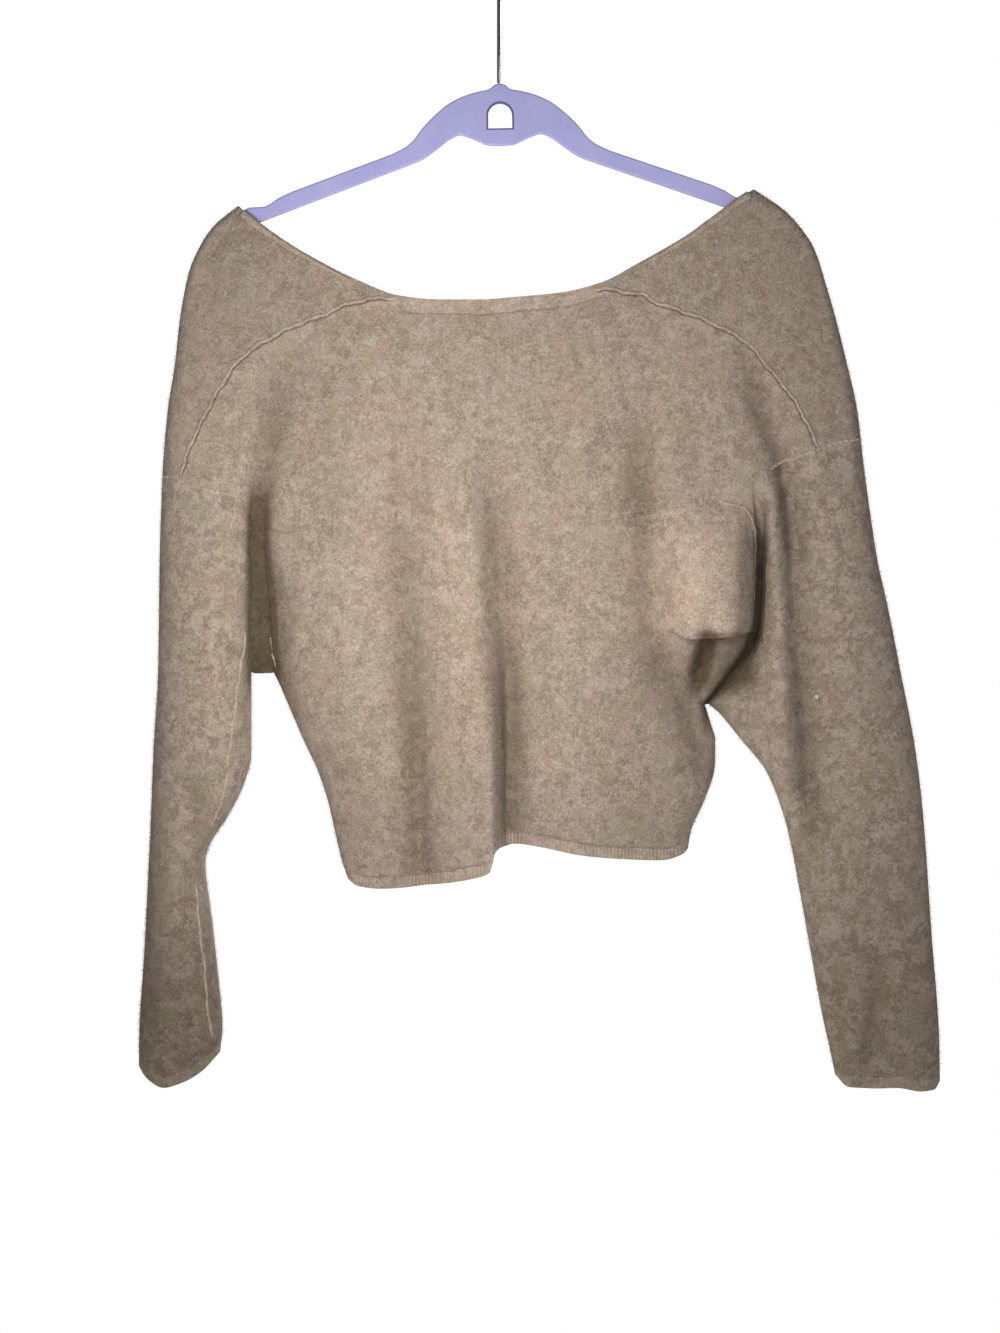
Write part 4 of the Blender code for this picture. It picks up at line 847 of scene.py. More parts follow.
def shoulder_grid(side):
    """Neck to crotches: rows of points across both sleeves and the body."""
    strip, share = shoulder_strips()
    chest_x, _ = shoulder_row(strip, share, CHEST, CHEST)
    u = (chest_x - chest_x[0]) / (chest_x[-1] - chest_x[0])
    neck = across(BACK_NECK if side == "back" else FRONT_NECK)
    chest = level((chest_x[0], CHEST), (chest_x[-1], CHEST))
    left = down(LEFT_OUTLINE, LEFT_OUTLINE["drop"][0], CHEST)
    right = down(RIGHT_OUTLINE, RIGHT_OUTLINE["drop"][0], CHEST)
    length = np.linalg.norm(chest(u) - neck(u), axis=-1)
    first = NECK_DEPTH / length
    rows = [np.zeros_like(u)]
    rows += [first + (1 - first) * i / UPPER_ROWS for i in range(UPPER_ROWS + 1)]
    points = [coons(neck, chest, left, right, u, t) for t in rows]
    xs, drops = [p[:, 0] for p in points], [p[:, 1] for p in points]
    for t in crowded(MIDDLE_ROWS, (LEDGE_ROWS_AT, 1.0), 2.0)[1:]:
        ends = [CHEST + (crotch - CHEST) * t for crotch in (LEFT_CROTCH, RIGHT_CROTCH)]
        x, drop = shoulder_row(strip, share, *ends)
        xs.append(x)
        drops.append(drop)
    x, drop = snapped(np.array(xs), np.array(drops))
    strip = np.broadcast_to(strip, x.shape)
    share = np.broadcast_to(share, x.shape)
    depth = shoulder_depth(side, strip, share, x, drop)
    depth[:, [0, -1]] = 0
    depth[-1, (strip[-1] == 1) | (strip[-1] == 3)] = 0
    depth[-1, np.searchsorted(strip[-1], (2, 4))] = 0
    if side == "back":
        drop = drop + sag(x, drop) * (strip == 2) * dome(share, SAG_FULLNESS)
    from_neck = np.zeros_like(x)
    from_neck[1:] = np.cumsum(np.hypot(np.diff(x, axis=0), np.diff(drop, axis=0)), axis=0)
    return dict(x=x, drop=drop, depth=depth, start=from_neck, strip=strip[0])


def tube_grid(side, part, top, bottom, left, right, columns, rows, band):
    """Crotch to free edge: rows of points across one tube, the last row of cells being its band."""
    length = np.linalg.norm(bottom(columns) - top(columns), axis=-1)
    last = 1 - band / length
    falls = np.array([last * i / rows for i in range(rows + 1)] + [np.ones_like(columns)])
    lean = MIDDLE_FOLD_LEAN * 4 * columns * (1 - columns) if part == "body" else 0
    share = columns - lean * falls
    points = coons(top, bottom, left, right, share, falls)
    x, drop = points[..., 0], points[..., 1]
    depth = tube_depth(side, part, share, x, drop)
    depth[:, [0, -1]] = 0
    to_end = np.zeros_like(x)
    steps = np.hypot(np.diff(x, axis=0), np.diff(drop, axis=0))
    to_end[:-1] = np.cumsum(steps[::-1], axis=0)[::-1]
    return dict(x=x, drop=drop, depth=depth, end=to_end, strip=None)


def cloth_grids():
    """Every grid of the mid surface, with the part of the garment that it belongs to."""
    grids = []
    for side, sign in (("back", -1), ("front", 1)):
        shoulders = shoulder_grid(side)
        grids.append((side, sign, "shoulders", shoulders))
        x, drop, strip = shoulders["x"][-1], shoulders["drop"][-1], shoulders["strip"]
        hem = BACK_HEM if side == "back" else FRONT_HEM
        for part, number, outer, inner, edge, rows, band in (
            ("left", 0, LEFT_OUTLINE, LEFT_INNER, LEFT_CUFF, SLEEVE_ROWS, CUFF_DEPTH),
            ("body", 2, BODY_LEFT, BODY_RIGHT, hem, BODY_ROWS, HEM_DEPTH),
            ("right", 4, RIGHT_INNER, RIGHT_OUTLINE, RIGHT_CUFF, SLEEVE_ROWS, CUFF_DEPTH),
        ):
            first = int(np.searchsorted(strip, number))
            last = int(np.searchsorted(strip, number + 1)) if number < 4 else len(strip) - 1
            tx, td = x[first : last + 1], drop[first : last + 1]
            share = (tx - tx[0]) / (tx[-1] - tx[0])

            def top(s, share=share, tx=tx, td=td):
                return np.stack([np.interp(s, share, tx), np.interp(s, share, td)], axis=-1)

            left = down(outer, td[0], edge["drop"][0])
            right = down(inner, td[-1], edge["drop"][-1])
            grid = tube_grid(side, part, top, across(edge), left, right, share, rows, band)
            grids.append((side, sign, part, grid))
    return grids


# ---------------------------------------------------------------- cloth pieces
class Cloth:
    """Polygons on one mid surface. A point's row holds its place, its normal, its signed distance to each
    seam and to the neck and hem bands, its half depth as "side", and its painted light and shade."""

    names = ("yoke_left", "yoke_right", "arm_left", "arm_right", "neck", "hem", "side", "pressed")

    def __init__(self):
        self.rows = []
        self.cuts = {}

    def column(self, name):
        return 6 + self.names.index(name)

    def cut(self, faces, name, keep, gap=SEAM_GAP):
        """The faces on one side of a seam (keep is 1 or -1), half a gap back from it."""
        column = self.column(name)
        kept = []
        for face in faces:
            out = []
            for i, b in enumerate(face):
                a = face[i - 1]
                inside = [keep * self.rows[p][column] > gap / 2 for p in (a, b)]
                if inside[0] != inside[1]:
                    out.append(self.crossing(a, b, column, keep * gap / 2))
                if inside[1]:
                    out.append(b)
            if len(out) > 2:
                kept.append(tuple(out))
        return kept

    def crossing(self, a, b, column, value):
        a, b = min(a, b), max(a, b)
        key = (a, b, column, value)
        if key not in self.cuts:
            first, second = self.rows[a], self.rows[b]
            share = (value - first[column]) / (second[column] - first[column])
            self.cuts[key] = len(self.rows)
            self.rows.append(first + (second - first) * share)
        return self.cuts[key]


def seam_fields(side, part, grid):
    """For each point of a grid, the distances that cutting reads."""
    x, drop = grid["x"], grid["drop"]
    far = np.ones_like(x)
    near_neck = grid.get("start", far) - NECK_DEPTH
    near_hem = grid.get("end", far) - (HEM_DEPTH if part == "body" else CUFF_DEPTH)
    distances = [polyline_distance(x, drop, line)[0] for line in SEAMS.values()]
    # Painted light and shade for the felt's colour.
    crease = pressed(side, part, x, drop, grid.get("start", far))
    stacked = np.stack([*distances, near_neck, near_hem, grid["depth"], crease], axis=-1)
    return list(stacked.reshape(-1, len(Cloth.names)))


def build_cloth():
    """Cloth, with its faces grouped by side and part of the garment."""
    merged = bmesh.new()
    tag = merged.faces.layers.int.new("group")
    groups = []
    fields = []
    for side, sign, part, grid in cloth_grids():
        rows, columns = grid["x"].shape
        x, drop = grid["x"], grid["drop"]
        y = sign * grid["depth"] + swing(x, drop)
        places = np.stack([x, y, -drop], axis=-1).reshape(-1, 3)
        verts = [merged.verts.new(place) for place in places]
        fields += seam_fields(side, part, grid)
        for i in range(rows - 1):
            for j in range(columns - 1):
                first = i * columns + j
                corners = [first, first + columns, first + columns + 1, first + 1]
                corners = corners if sign < 0 else corners[::-1]
                face = merged.faces.new([verts[c] for c in corners])
                face[tag] = len(groups)
        groups.append((side, part))
    merged.verts.index_update()
    index = merged.verts.layers.int.new("field")
    for vert in merged.verts:
        vert[index] = vert.index
    bmesh.ops.remove_doubles(merged, verts=merged.verts, dist=1e-6)
    merged.normal_update()
    merged.verts.index_update()
    cloth = Cloth()
    for vert in merged.verts:
        cloth.rows.append(np.array([*vert.co, *vert.normal, *fields[vert[index]]]))
    faces = {group: [] for group in groups}
    for face in merged.faces:
        faces[groups[face[tag]]].append(tuple(v.index for v in face.verts))
    merged.free()
    return cloth, faces


# ---------------------------------------------------------------- hanger
# Half outline of the head, from the nub out to where the straight arm starts.
HEAD_TOP = table(
    "x drop",
    (0.0000, 0.0947), (0.0030, 0.0951), (0.0062, 0.0975), (0.0085, 0.0990), (0.0141, 0.1000),
    (0.0252, 0.1030), (0.0363, 0.1080), (0.0474, 0.1164), (0.0585, 0.1277),
    (0.0640, 0.1350), (0.0700, 0.1402), (0.0807, 0.1456),
)
HEAD_BOTTOM = table(
    "x drop",
    (0.0000, 0.1406), (0.0090, 0.1400), (0.0160, 0.1372), (0.0225, 0.1343),
    (0.0300, 0.1322), (0.0370, 0.1350), (0.0474, 0.1426), (0.0585, 0.1500),
    (0.0696, 0.1543), (0.0807, 0.1583),
)
# Upper edge of the arm past the head: down to the strap notch, its floor, the hidden end.
ARM_TOP = table(
    "x drop",
    (0.1547, 0.1719), (0.1650, 0.1765), (0.1700, 0.1800), (0.1750, 0.1826),
    (0.1872, 0.1832), (0.1900, 0.1846), (0.1960, 0.1894), (0.2015, 0.1938),
)
ARM_END = dict(x=0.2030, drop=0.1990, radius=0.0045)
NUB = 0.0947  # drop of the hanger's top, where it tilts on the hook
ARCH = dict(width=0.0178, top=0.1092, floor=0.1277)
# The wire's middle line below the crown: shank, then the bend out to the crown's circle.
SHANK = table(
    "y z",
    (0.0000, -0.0940), (0.0000, -0.0840), (0.0000, -0.0740), (0.0000, -0.0640),
    (0.0012, -0.0570), (0.0048, -0.0505), (0.0100, -0.0448),
)
CROWN_TURN = range(-50, 201, 5)  # degrees
TIP_RUN = (-0.0006, -0.0045)  # last step down to the open tip


def hanger_half(sign):
    """Outline of one half of the hanger, from the middle of its top edge round to below."""
    top = rounded(HEAD_TOP, 44)
    under = rounded(HEAD_BOTTOM, 30)[::-1]
    turn = [math.radians(a) for a in range(50, -71, -20)]
    end = [
        (ARM_END["x"] + ARM_END["radius"] * math.cos(a), ARM_END["drop"] - ARM_END["radius"] * math.sin(a))
        for a in turn
    ]
    points = [*top, *np.stack([ARM_TOP["x"], ARM_TOP["drop"]], -1), *end, *under]
    return [(sign * x, NUB - drop) for x, drop in points]


# ---------------------------------------------------------------- finishes
class Wire:
    """A value flowing through a node tree, on which sums can be written. The second number
    of a sum of one value is not read."""

    def __init__(self, nodes, socket):
        self.nodes = nodes
        self.socket = socket

    def beside(self, output):
        """Another output of the same node."""
        return Wire(self.nodes, self.socket.node.outputs[output])

    def sum(self, operation, first, second=0.5):
        return self.nodes.make("ShaderNodeMath", {"operation": operation}, {0: first, 1: second})

    def __add__(self, other):
        return self.sum("ADD", self, other)

    __radd__ = __add__

    def __sub__(self, other):
        return self.sum("SUBTRACT", self, other)

    def __rsub__(self, other):
        return self.sum("SUBTRACT", other, self)

    def __mul__(self, other):
        return self.sum("MULTIPLY", self, other)

    __rmul__ = __mul__

    def __gt__(self, other):
        return self.sum("GREATER_THAN", self, other)

    def __lt__(self, other):
        return self.sum("LESS_THAN", self, other)

    def __abs__(self):
        return self.sum("ABSOLUTE", self)


class Nodes:
    """A node tree, with the one method that makes its nodes."""

    def __init__(self, tree):
        self.tree = tree

    def make(self, kind, settings=None, inputs=None, output=0):
        node = self.tree.nodes.new(kind)
        for key, value in (settings or {}).items():
            if key == "stops":
                self.fill_ramp(node.color_ramp.elements, value)
            else:
                setattr(node, key, value)
        for key, value in (inputs or {}).items():
            self.feed(node.inputs[key], value)
        return Wire(self, node.outputs[output]) if node.outputs else None

    def fill_ramp(self, elements, stops):
        while len(elements) < len(stops):
            elements.new(0.5)
        for element, (at, colour) in zip(elements, stops):
            element.position = at
            element.color = (*colour, 1)

    def feed(self, socket, value):
        if isinstance(value, Wire):
            self.tree.links.new(value.socket, socket)
        elif socket.type == "RGBA":
            socket.default_value = (*value, 1)
        else:
            socket.default_value = value


class Finish(Nodes):
    """One material."""

    def __init__(self, name):
        self.material = bpy.data.materials.new(name)
        self.material.use_nodes = True
        super().__init__(self.material.node_tree)
        self.shader = self.tree.nodes["Principled BSDF"]

    def set(self, **values):
        for name, value in values.items():
            self.feed(self.shader.inputs[name.replace("_", " ")], value)

    def place(self):
        return self.make("ShaderNodeTexCoord", output="Object")

    def noise(self, place, scale, detail=2.0, rough=0.5, twist=0.0):
        inputs = {"Vector": place, "Scale": scale, "Detail": detail, "Roughness": rough}
        inputs["Distortion"] = twist
        return self.make("ShaderNodeTexNoise", None, inputs, "Fac")

    def grade(self, value, low, high, start=0.0, end=1.0):
        inputs = {"Value": value, "From Min": low, "From Max": high}
        inputs.update({"To Min": start, "To Max": end})
        return self.make("ShaderNodeMapRange", {"clamp": True}, inputs, "Result")

    def blend(self, share, first, second, mode="MIX"):
        settings = {"data_type": "RGBA", "blend_type": mode}
        return self.make("ShaderNodeMix", settings, {"Factor": share, 6: first, 7: second}, 2)

    def bump(self, height, strength, distance):
        inputs = {"Height": height, "Strength": strength, "Distance": distance}
        self.set(Normal=self.make("ShaderNodeBump", None, inputs, "Normal"))


def felt_finish(name, light, rose, mottle):
    """Heathered felted wool: pale base, brown and rosy flecks, loose curling hairs, with painted shade and
    painted highlight read from its points.
    """
    felt = Finish(name)
    place = felt.place()
    noise = {key: felt.noise(place, *look) for key, look in FELT_NOISES.items()}
    rosy = felt.grade(noise["rosy"], 0.50, 0.60)
    olive = felt.grade(noise["olive"], 0.50, 0.60)
    hairs = 1.0 - felt.grade(abs(noise["hairs"] - 0.5), 0.0, 0.030)
    hair_patches = felt.grade(noise["hair_patches"], 0.42, 0.66)
    painted_light = felt.make("ShaderNodeAttribute", {"attribute_name": "pressed"}, None, "Fac")
    tone = {k: tuple(light * c for c in v) for k, v in FELT_TONES.items()}
    stops = tuple((0.5 + (at - 0.5) / mottle**0.5, tone[key]) for at, key in FLECK_STOPS)
    colour = felt.make("ShaderNodeValToRGB", {"stops": stops}, {"Fac": noise["flecks"]}, "Color")
    for tone_name, share in (
        ("umber", felt.grade(noise["clouds"], 0.51, 0.51 - 0.15 / mottle) * FELT_SHARES["umber"]),
        ("pale", felt.grade(noise["clouds"], 0.50, 0.50 + 0.16 / mottle) * FELT_SHARES["pale"]),
        ("rosy", rosy * rose),
        ("olive", olive * (FELT_SHARES["olive"] * mottle**0.5)),
    ):
        colour = felt.blend(share, colour, tone[tone_name])
    drift = felt.grade(noise["drift"], 0.40, 0.60)
    colour = felt.blend(drift, colour, FELT_DRIFT, "MULTIPLY")
    for tone_name, share in (
        ("hair", hairs * hair_patches * FELT_SHARES["hairs"]),
        ("deep", felt.grade(noise["grain"], 0.50, 0.34) * FELT_SHARES["dark_grain"]),
        ("hair", felt.grade(noise["grain"], 0.52, 0.68) * FELT_SHARES["pale_grain"]),
    ):
        colour = felt.blend(share, colour, tone[tone_name])
    # Painted light and shade: paler as a painted highlight where the point's value is below 0, darker as
    # painted shade where it is above 0.
    raised = felt.grade(painted_light, 0.0, -1.0) * PAINTED_SHADING["highlight_tone"]
    colour = felt.blend(raised, colour, PAINTED_HIGHLIGHT_TONE, "MULTIPLY")
    shaded = felt.blend(felt.grade(painted_light, 0.0, 1.0) * PAINTED_SHADING["tone"], (1.0, 1.0, 1.0), PAINTED_SHADE_TONE)
    colour = felt.blend(1.0, colour, shaded, "MULTIPLY")
    felt.set(Base_Color=colour, Roughness=0.96, Specular_IOR_Level=0.12)
    felt.set(Sheen_Weight=0.18, Sheen_Roughness=0.45, Sheen_Tint=(0.86, 0.76, 0.68))
    felt.bump(noise["flecks"] * 0.5 + noise["grain"] * 0.35 + hairs * 0.20, 0.70, 0.0013)
    return felt.material


def plain_finish(name, colour, **sockets):
    """A finish that is the same all over, for what is small or isn't part of the object."""
    finish = Finish(name)
    finish.set(Base_Color=colour, **sockets)
    return finish.material


def velvet_finish():
    """Short flock on moulded plastic, rubbed a little along its length."""
    velvet = Finish("lilac flocked velvet")
    place = velvet.place()
    nap = velvet.noise(place, 1900.0, 2.0, 0.6)
    rubbed = velvet.grade(velvet.noise(place, 26.0, 3.0, 0.55), 0.35, 0.68)
    colour = velvet.blend(velvet.grade(nap, 0.3, 0.7), VELVET["deep"], VELVET["lit"])
    colour = velvet.blend(rubbed * 0.35, colour, VELVET["rubbed"])
    velvet.set(Base_Color=colour, Roughness=0.88, Specular_IOR_Level=0.2)
    velvet.set(Sheen_Weight=0.45, Sheen_Roughness=0.35, Sheen_Tint=(0.80, 0.80, 0.98))
    velvet.bump(nap, 0.35, 0.0004)
    return velvet.material


def chrome_finish():
    """Polished wire with faint drawing marks."""
    chrome = Finish("chrome wire")
    place = chrome.place()
    inputs = {"Vector": place, "Scale": (1400.0, 1400.0, 60.0)}
    stretched = chrome.make("ShaderNodeMapping", None, inputs)
    marks = chrome.noise(stretched, 1.0, 2.0)
    chrome.set(Base_Color=(0.60, 0.60, 0.63), Metallic=1.0)
    chrome.set(Roughness=chrome.grade(marks, 0.3, 0.7, 0.10, 0.24))
    return chrome.material


# ---------------------------------------------------------------- cloth shells
def shell(name, cloth, faces, finish):
    """One closed piece of cloth: two skins half a wall each way, and a rim between. Its points keep their
    painted light and shade."""
    used = sorted({p for face in faces for p in face})
    place = {p: i for i, p in enumerate(used)}
    rows = np.array([cloth.rows[p] for p in used])
    normal = rows[:, 3:6] / np.linalg.norm(rows[:, 3:6], axis=1, keepdims=True)
    points = np.vstack([rows[:, :3] + normal * WALL / 2, rows[:, :3] - normal * WALL / 2])
    outer = [tuple(place[p] for p in face) for face in faces]
    count = len(used)
    inner = [tuple(p + count for p in reversed(face)) for face in outer]
    edges = {(face[i - 1], face[i]) for face in outer for i in range(len(face))}
    rim = [(b, a, a + count, b + count) for a, b in edges if (b, a) not in edges]
    piece = mesh_piece(name, points, outer + inner + sorted(rim), finish, outside=len(outer))
    painted_shading_layer = piece.data.attributes.new("pressed", "FLOAT", "POINT")
    crease = rows[:, cloth.column("pressed")]
    painted_shading_layer.data.foreach_set("value", np.concatenate([crease, crease]).astype(np.float32))
    return piece


def placed(name, data):
    """A new object in the scene."""
    obj = bpy.data.objects.new(name, data)
    bpy.context.scene.collection.objects.link(obj)
    return obj


def mesh_piece(name, points, faces, finish, outside=0, sharp=SHARP):
    """A smooth mesh object, with its first faces flagged as its outside."""
    mesh = bpy.data.meshes.new(name)
    mesh.from_pydata([tuple(p) for p in points], [], faces)
    mesh.materials.append(finish)
    mesh.shade_smooth()
    mesh.set_sharp_from_angle(angle=sharp)
    if outside:
        flags = mesh.attributes.new("outside", "FLOAT", "FACE")
        flags.data.foreach_set("value", [float(i < outside) for i in range(len(faces))])
    return placed(name, mesh)


def moulded(name, finish, place, create, **sizes):
    """A mesh object from one of bmesh's simple shapes."""
    mesh = bpy.data.meshes.new(name)
    shape = bmesh.new()
    create(shape, **sizes)
    bmesh.ops.translate(shape, verts=shape.verts, vec=place)
    shape.to_mesh(mesh)
    shape.free()
    mesh.materials.append(finish)
    return placed(name, mesh)


def dress(piece, slot, *nodes):
    """The piece rides on the one body and stands for its CAD nodes. Its slot is not used."""
    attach(piece, "root")
    if nodes:
        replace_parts(piece, *nodes)
    return piece


def sewn_pieces(cloth, faces):
    """Faces of each piece of the pattern, by node name."""
    shoulders = {side: faces[side, "shoulders"] for side in ("back", "front")}
    pieces = {}
    for side in ("back", "front"):
        panel = shoulders[side]
        for seam in ("arm_left", "arm_right", "yoke_left", "yoke_right"):
            panel = cloth.cut(panel, seam, -1)
        pieces[f"neck_band_{side}"] = cloth.cut(panel, "neck", -1)
        panel = cloth.cut(panel, "neck", 1) + cloth.cut(faces[side, "body"], "hem", 1)
        pieces[f"{side}_panel"] = cloth.cut(panel, "side", 1)
    whole = shoulders["back"] + shoulders["front"]
    for part in ("left", "right"):
        yoke = cloth.cut(whole, f"yoke_{part}", 1)
        pieces[f"yoke_{part}"] = cloth.cut(yoke, f"arm_{part}", -1)
        tube = faces["back", part] + faces["front", part]
        pieces[f"sleeve_{part}"] = cloth.cut(whole, f"arm_{part}", 1) + cloth.cut(tube, "hem", 1)
        pieces[f"cuff_{part}"] = cloth.cut(tube, "hem", -1)
    body = faces["back", "body"] + faces["front", "body"]
    pieces["hem_band"] = cloth.cut(body, "hem", -1)
    return pieces


# ---------------------------------------------------------------- what is laid on the cloth
class Surface:
    """The cloth's middle surface, met from behind (-Y) or from the front (+Y)."""

    def __init__(self, cloth, faces):
        points = [tuple(row[:3]) for row in cloth.rows]
        polygons = [face for group in faces.values() for face in group]
        self.tree = BVHTree.FromPolygons(points, polygons)

    def meet(self, x, drop, side):
        sign = -1 if side == "back" else 1
        place, normal, _, _ = self.tree.ray_cast(Vector((x, sign, -drop)), Vector((0, -sign, 0)))
        if place is None:
            return None
        return place, -normal if normal.y * sign < 0 else normal

    def over(self, line, side):
        """Rows of place and normal where a line of (x, drop) meets the cloth."""
        met = [self.meet(x, drop, side) for x, drop in line]
        return np.array([[*place, *normal] for place, normal in filter(None, met)])


def evened(rows, step=PATH_STEP):
    """The same path with rows a step apart, lightly smoothed; its place comes first in a row."""
    rows = np.array(rows)
    for _ in range(2):
        rows[1:-1] = (rows[:-2] + 2 * rows[1:-1] + rows[2:]) / 4
    along = np.concatenate([[0], np.cumsum(np.linalg.norm(np.diff(rows[:, :3], axis=0), axis=1))])
    at = np.linspace(0, along[-1], max(int(along[-1] / step), 2) + 1)
    return np.stack([np.interp(at, along, column) for column in rows.T], axis=-1)


def lifted(rows, height):
    """An even path at a height above rows of place and normal."""
    return evened(rows[:, :3] + rows[:, 3:] * height)


class Growth(Nodes):
    """A Geometry Nodes tree with named sizes, which grows plain meshes."""

    def __init__(self, name, **sizes):
        super().__init__(bpy.data.node_groups.new(name, "GeometryNodeTree"))
        face = self.tree.interface
        face.new_socket("Geometry", in_out="OUTPUT", socket_type="NodeSocketGeometry")
        face.new_socket("Geometry", in_out="INPUT", socket_type="NodeSocketGeometry")
        self.ids = {}
        for label, kind in sizes.items():
            made = face.new_socket(label, in_out="INPUT", socket_type=f"NodeSocket{kind}")
            self.ids[label] = made.identifier
        self.source = self.make("NodeGroupInput")

    def size(self, label):
        return self.source.beside(label)

    def sweep(self, curve, sides, radius, **more):
        """A smooth closed tube round a curve."""
        inputs = {"Resolution": sides, "Radius": radius}
        ring = self.make("GeometryNodeCurvePrimitiveCircle", None, inputs)
        inputs = {"Curve": curve, "Profile Curve": ring, "Fill Caps": True, **more}
        tube = self.make("GeometryNodeCurveToMesh", None, inputs)
        return self.make("GeometryNodeSetShadeSmooth", None, {"Geometry": tube})

    def chance(self, low, high, seed):
        inputs = {2: low, 3: high, "Seed": seed}
        return self.make("FunctionNodeRandomValue", {"data_type": "FLOAT"}, inputs, 1)

    def turned(self, rotation, axis, angle):
        """A rotation, turned further about one of its own axes."""
        turn = self.make("FunctionNodeAxisAngleToRotation", None, {"Axis": axis, "Angle": angle})
        inputs = {0: rotation, 1: turn}
        return self.make("FunctionNodeRotateRotation", {"rotation_space": "LOCAL"}, inputs)

    def laid(self, points, piece, rotation, **more):
        inputs = {"Points": points, "Instance": piece, "Rotation": rotation, **more}
        return self.make("GeometryNodeInstanceOnPoints", None, inputs)

    def close(self, geometry):
        """Ends the tree with real geometry in its material."""
        whole = self.make("GeometryNodeRealizeInstances", None, {"Geometry": geometry})
        inputs = {"Geometry": whole, "Material": self.size("Material")}
        done = self.make("GeometryNodeSetMaterial", None, inputs)
        self.make("NodeGroupOutput", None, {0: done})
        return self

    def grow(self, name, source, slot, **values):
        """A plain mesh piece, grown by this tree on the source object."""
        modifier = source.modifiers.new("growth", "NODES")
        modifier.node_group = self.tree
        for label, value in values.items():
            modifier[self.ids[label]] = value
        graph = bpy.context.evaluated_depsgraph_get()
        mesh = bpy.data.meshes.new_from_object(source.evaluated_get(graph), depsgraph=graph)
        source.modifiers.remove(modifier)
        mesh.name = name
        return dress(placed(name, mesh), slot)

    def follow(self, name, paths, slot, **values):
        """A piece grown along open lines. A path's fourth column is its radius."""
        curve = bpy.data.curves.new(f"{name} lines", "CURVE")
        curve.dimensions = "3D"
        for path in paths:
            spline = curve.splines.new("POLY")
            spline.points.add(len(path) - 1)
            for point, row in zip(spline.points, path):
                point.co = (row[0], row[1], row[2], 1)
                point.radius = row[3] if len(row) > 3 else 1.0
        source = placed(curve.name, curve)
        piece = self.grow(name, source, slot, **values)
        bpy.data.objects.remove(source)
        return piece


def cord_tree():
    """A round cord that follows a path, a little uneven."""
    tree = Growth("corded seam", Radius="Float", Wander="Float", Seed="Float", Material="Material")
    inputs = {"Vector": tree.make("GeometryNodeInputPosition"), "W": tree.size("Seed")}
    inputs["Scale"] = CORD_NOISE
    noise = tree.make("ShaderNodeTexNoise", {"noise_dimensions": "4D"}, inputs, "Color")
    inputs = {0: noise, 1: (0.5, 0.5, 0.5)}
    centred = tree.make("ShaderNodeVectorMath", {"operation": "SUBTRACT"}, inputs)
    inputs = {0: centred, "Scale": tree.size("Wander")}
    moved = tree.make("ShaderNodeVectorMath", {"operation": "SCALE"}, inputs)
    path = tree.make("GeometryNodeSetPosition", None, {"Geometry": tree.source, "Offset": moved})
    swell = tree.make("GeometryNodeInputRadius")
    return tree.close(tree.sweep(path, CORD_SIDES, tree.size("Radius"), Scale=swell))


def stitch_tree():
    """Short threads laid along a path, each turned a little off its line."""
    tree = Growth(
        "sewn stitches", Spacing="Float", Length="Float", Thickness="Float", Turn="Float",
        Seed="Int", Material="Material",
    )
    inputs = {"Curve": tree.source, "Length": tree.size("Spacing")}
    spaced = tree.make("GeometryNodeCurveToPoints", {"mode": "LENGTH"}, inputs)
    half = tree.size("Length") * 0.5
    low = tree.make("ShaderNodeCombineXYZ", None, {"Z": half * -1.0})
    high = tree.make("ShaderNodeCombineXYZ", None, {"Z": half})
    line = tree.make("GeometryNodeCurvePrimitiveLine", None, {"Start": low, "End": high})
    thread = tree.sweep(line, THREAD_SIDES, tree.size("Thickness"))
    angle = tree.chance(tree.size("Turn") * 0.6, tree.size("Turn"), tree.size("Seed"))
    rotation = tree.turned(spaced.beside("Rotation"), (0.0, 1.0, 0.0), angle)
    return tree.close(tree.laid(spaced, thread, rotation))


def fuzz_tree():
    """Loose hairs lying nearly flat over a felted face."""
    tree = Growth("felt fuzz", Density="Float", Hair="Object", Seed="Int", Material="Material")
    seed = tree.size("Seed")
    kind = {"data_type": "FLOAT"}
    outside = tree.make("GeometryNodeInputNamedAttribute", kind, {"Name": "outside"}) > 0.5
    inputs = {"Mesh": tree.source, "Selection": outside, "Density": tree.size("Density"), "Seed": seed}
    kind = {"distribute_method": "RANDOM"}
    spread = tree.make("GeometryNodeDistributePointsOnFaces", kind, inputs)
    spin = tree.chance(0.0, 6.283, seed + 11.0)
    lean = tree.chance(*HAIR["lean"], seed + 23.0)
    spun = tree.turned(spread.beside("Rotation"), (0.0, 0.0, 1.0), spin)
    leant = tree.turned(spun, (1.0, 0.0, 0.0), lean)
    hair = tree.make("GeometryNodeObjectInfo", None, {"Object": tree.size("Hair")}, "Geometry")
    scale = tree.chance(*HAIR["scale"], seed + 37.0)
    return tree.close(tree.laid(spread, hair, leant, Scale=scale))


def hair_object():
    """A single curling hair: a narrow strip of three triangles."""
    width, length, curl = HAIR["width"], HAIR["length"], HAIR["curl"]
    points = [
        (-width / 2, 0, 0), (width / 2, 0, 0),
        (-width / 2.6, curl, length * 0.55), (width / 2.6, curl, length * 0.55),
        (0, 0, length),
    ]
    mesh = bpy.data.meshes.new("felt hair")
    mesh.from_pydata(points, [], [(0, 1, 3), (0, 3, 2), (2, 3, 4)])
    return placed("felt hair", mesh)


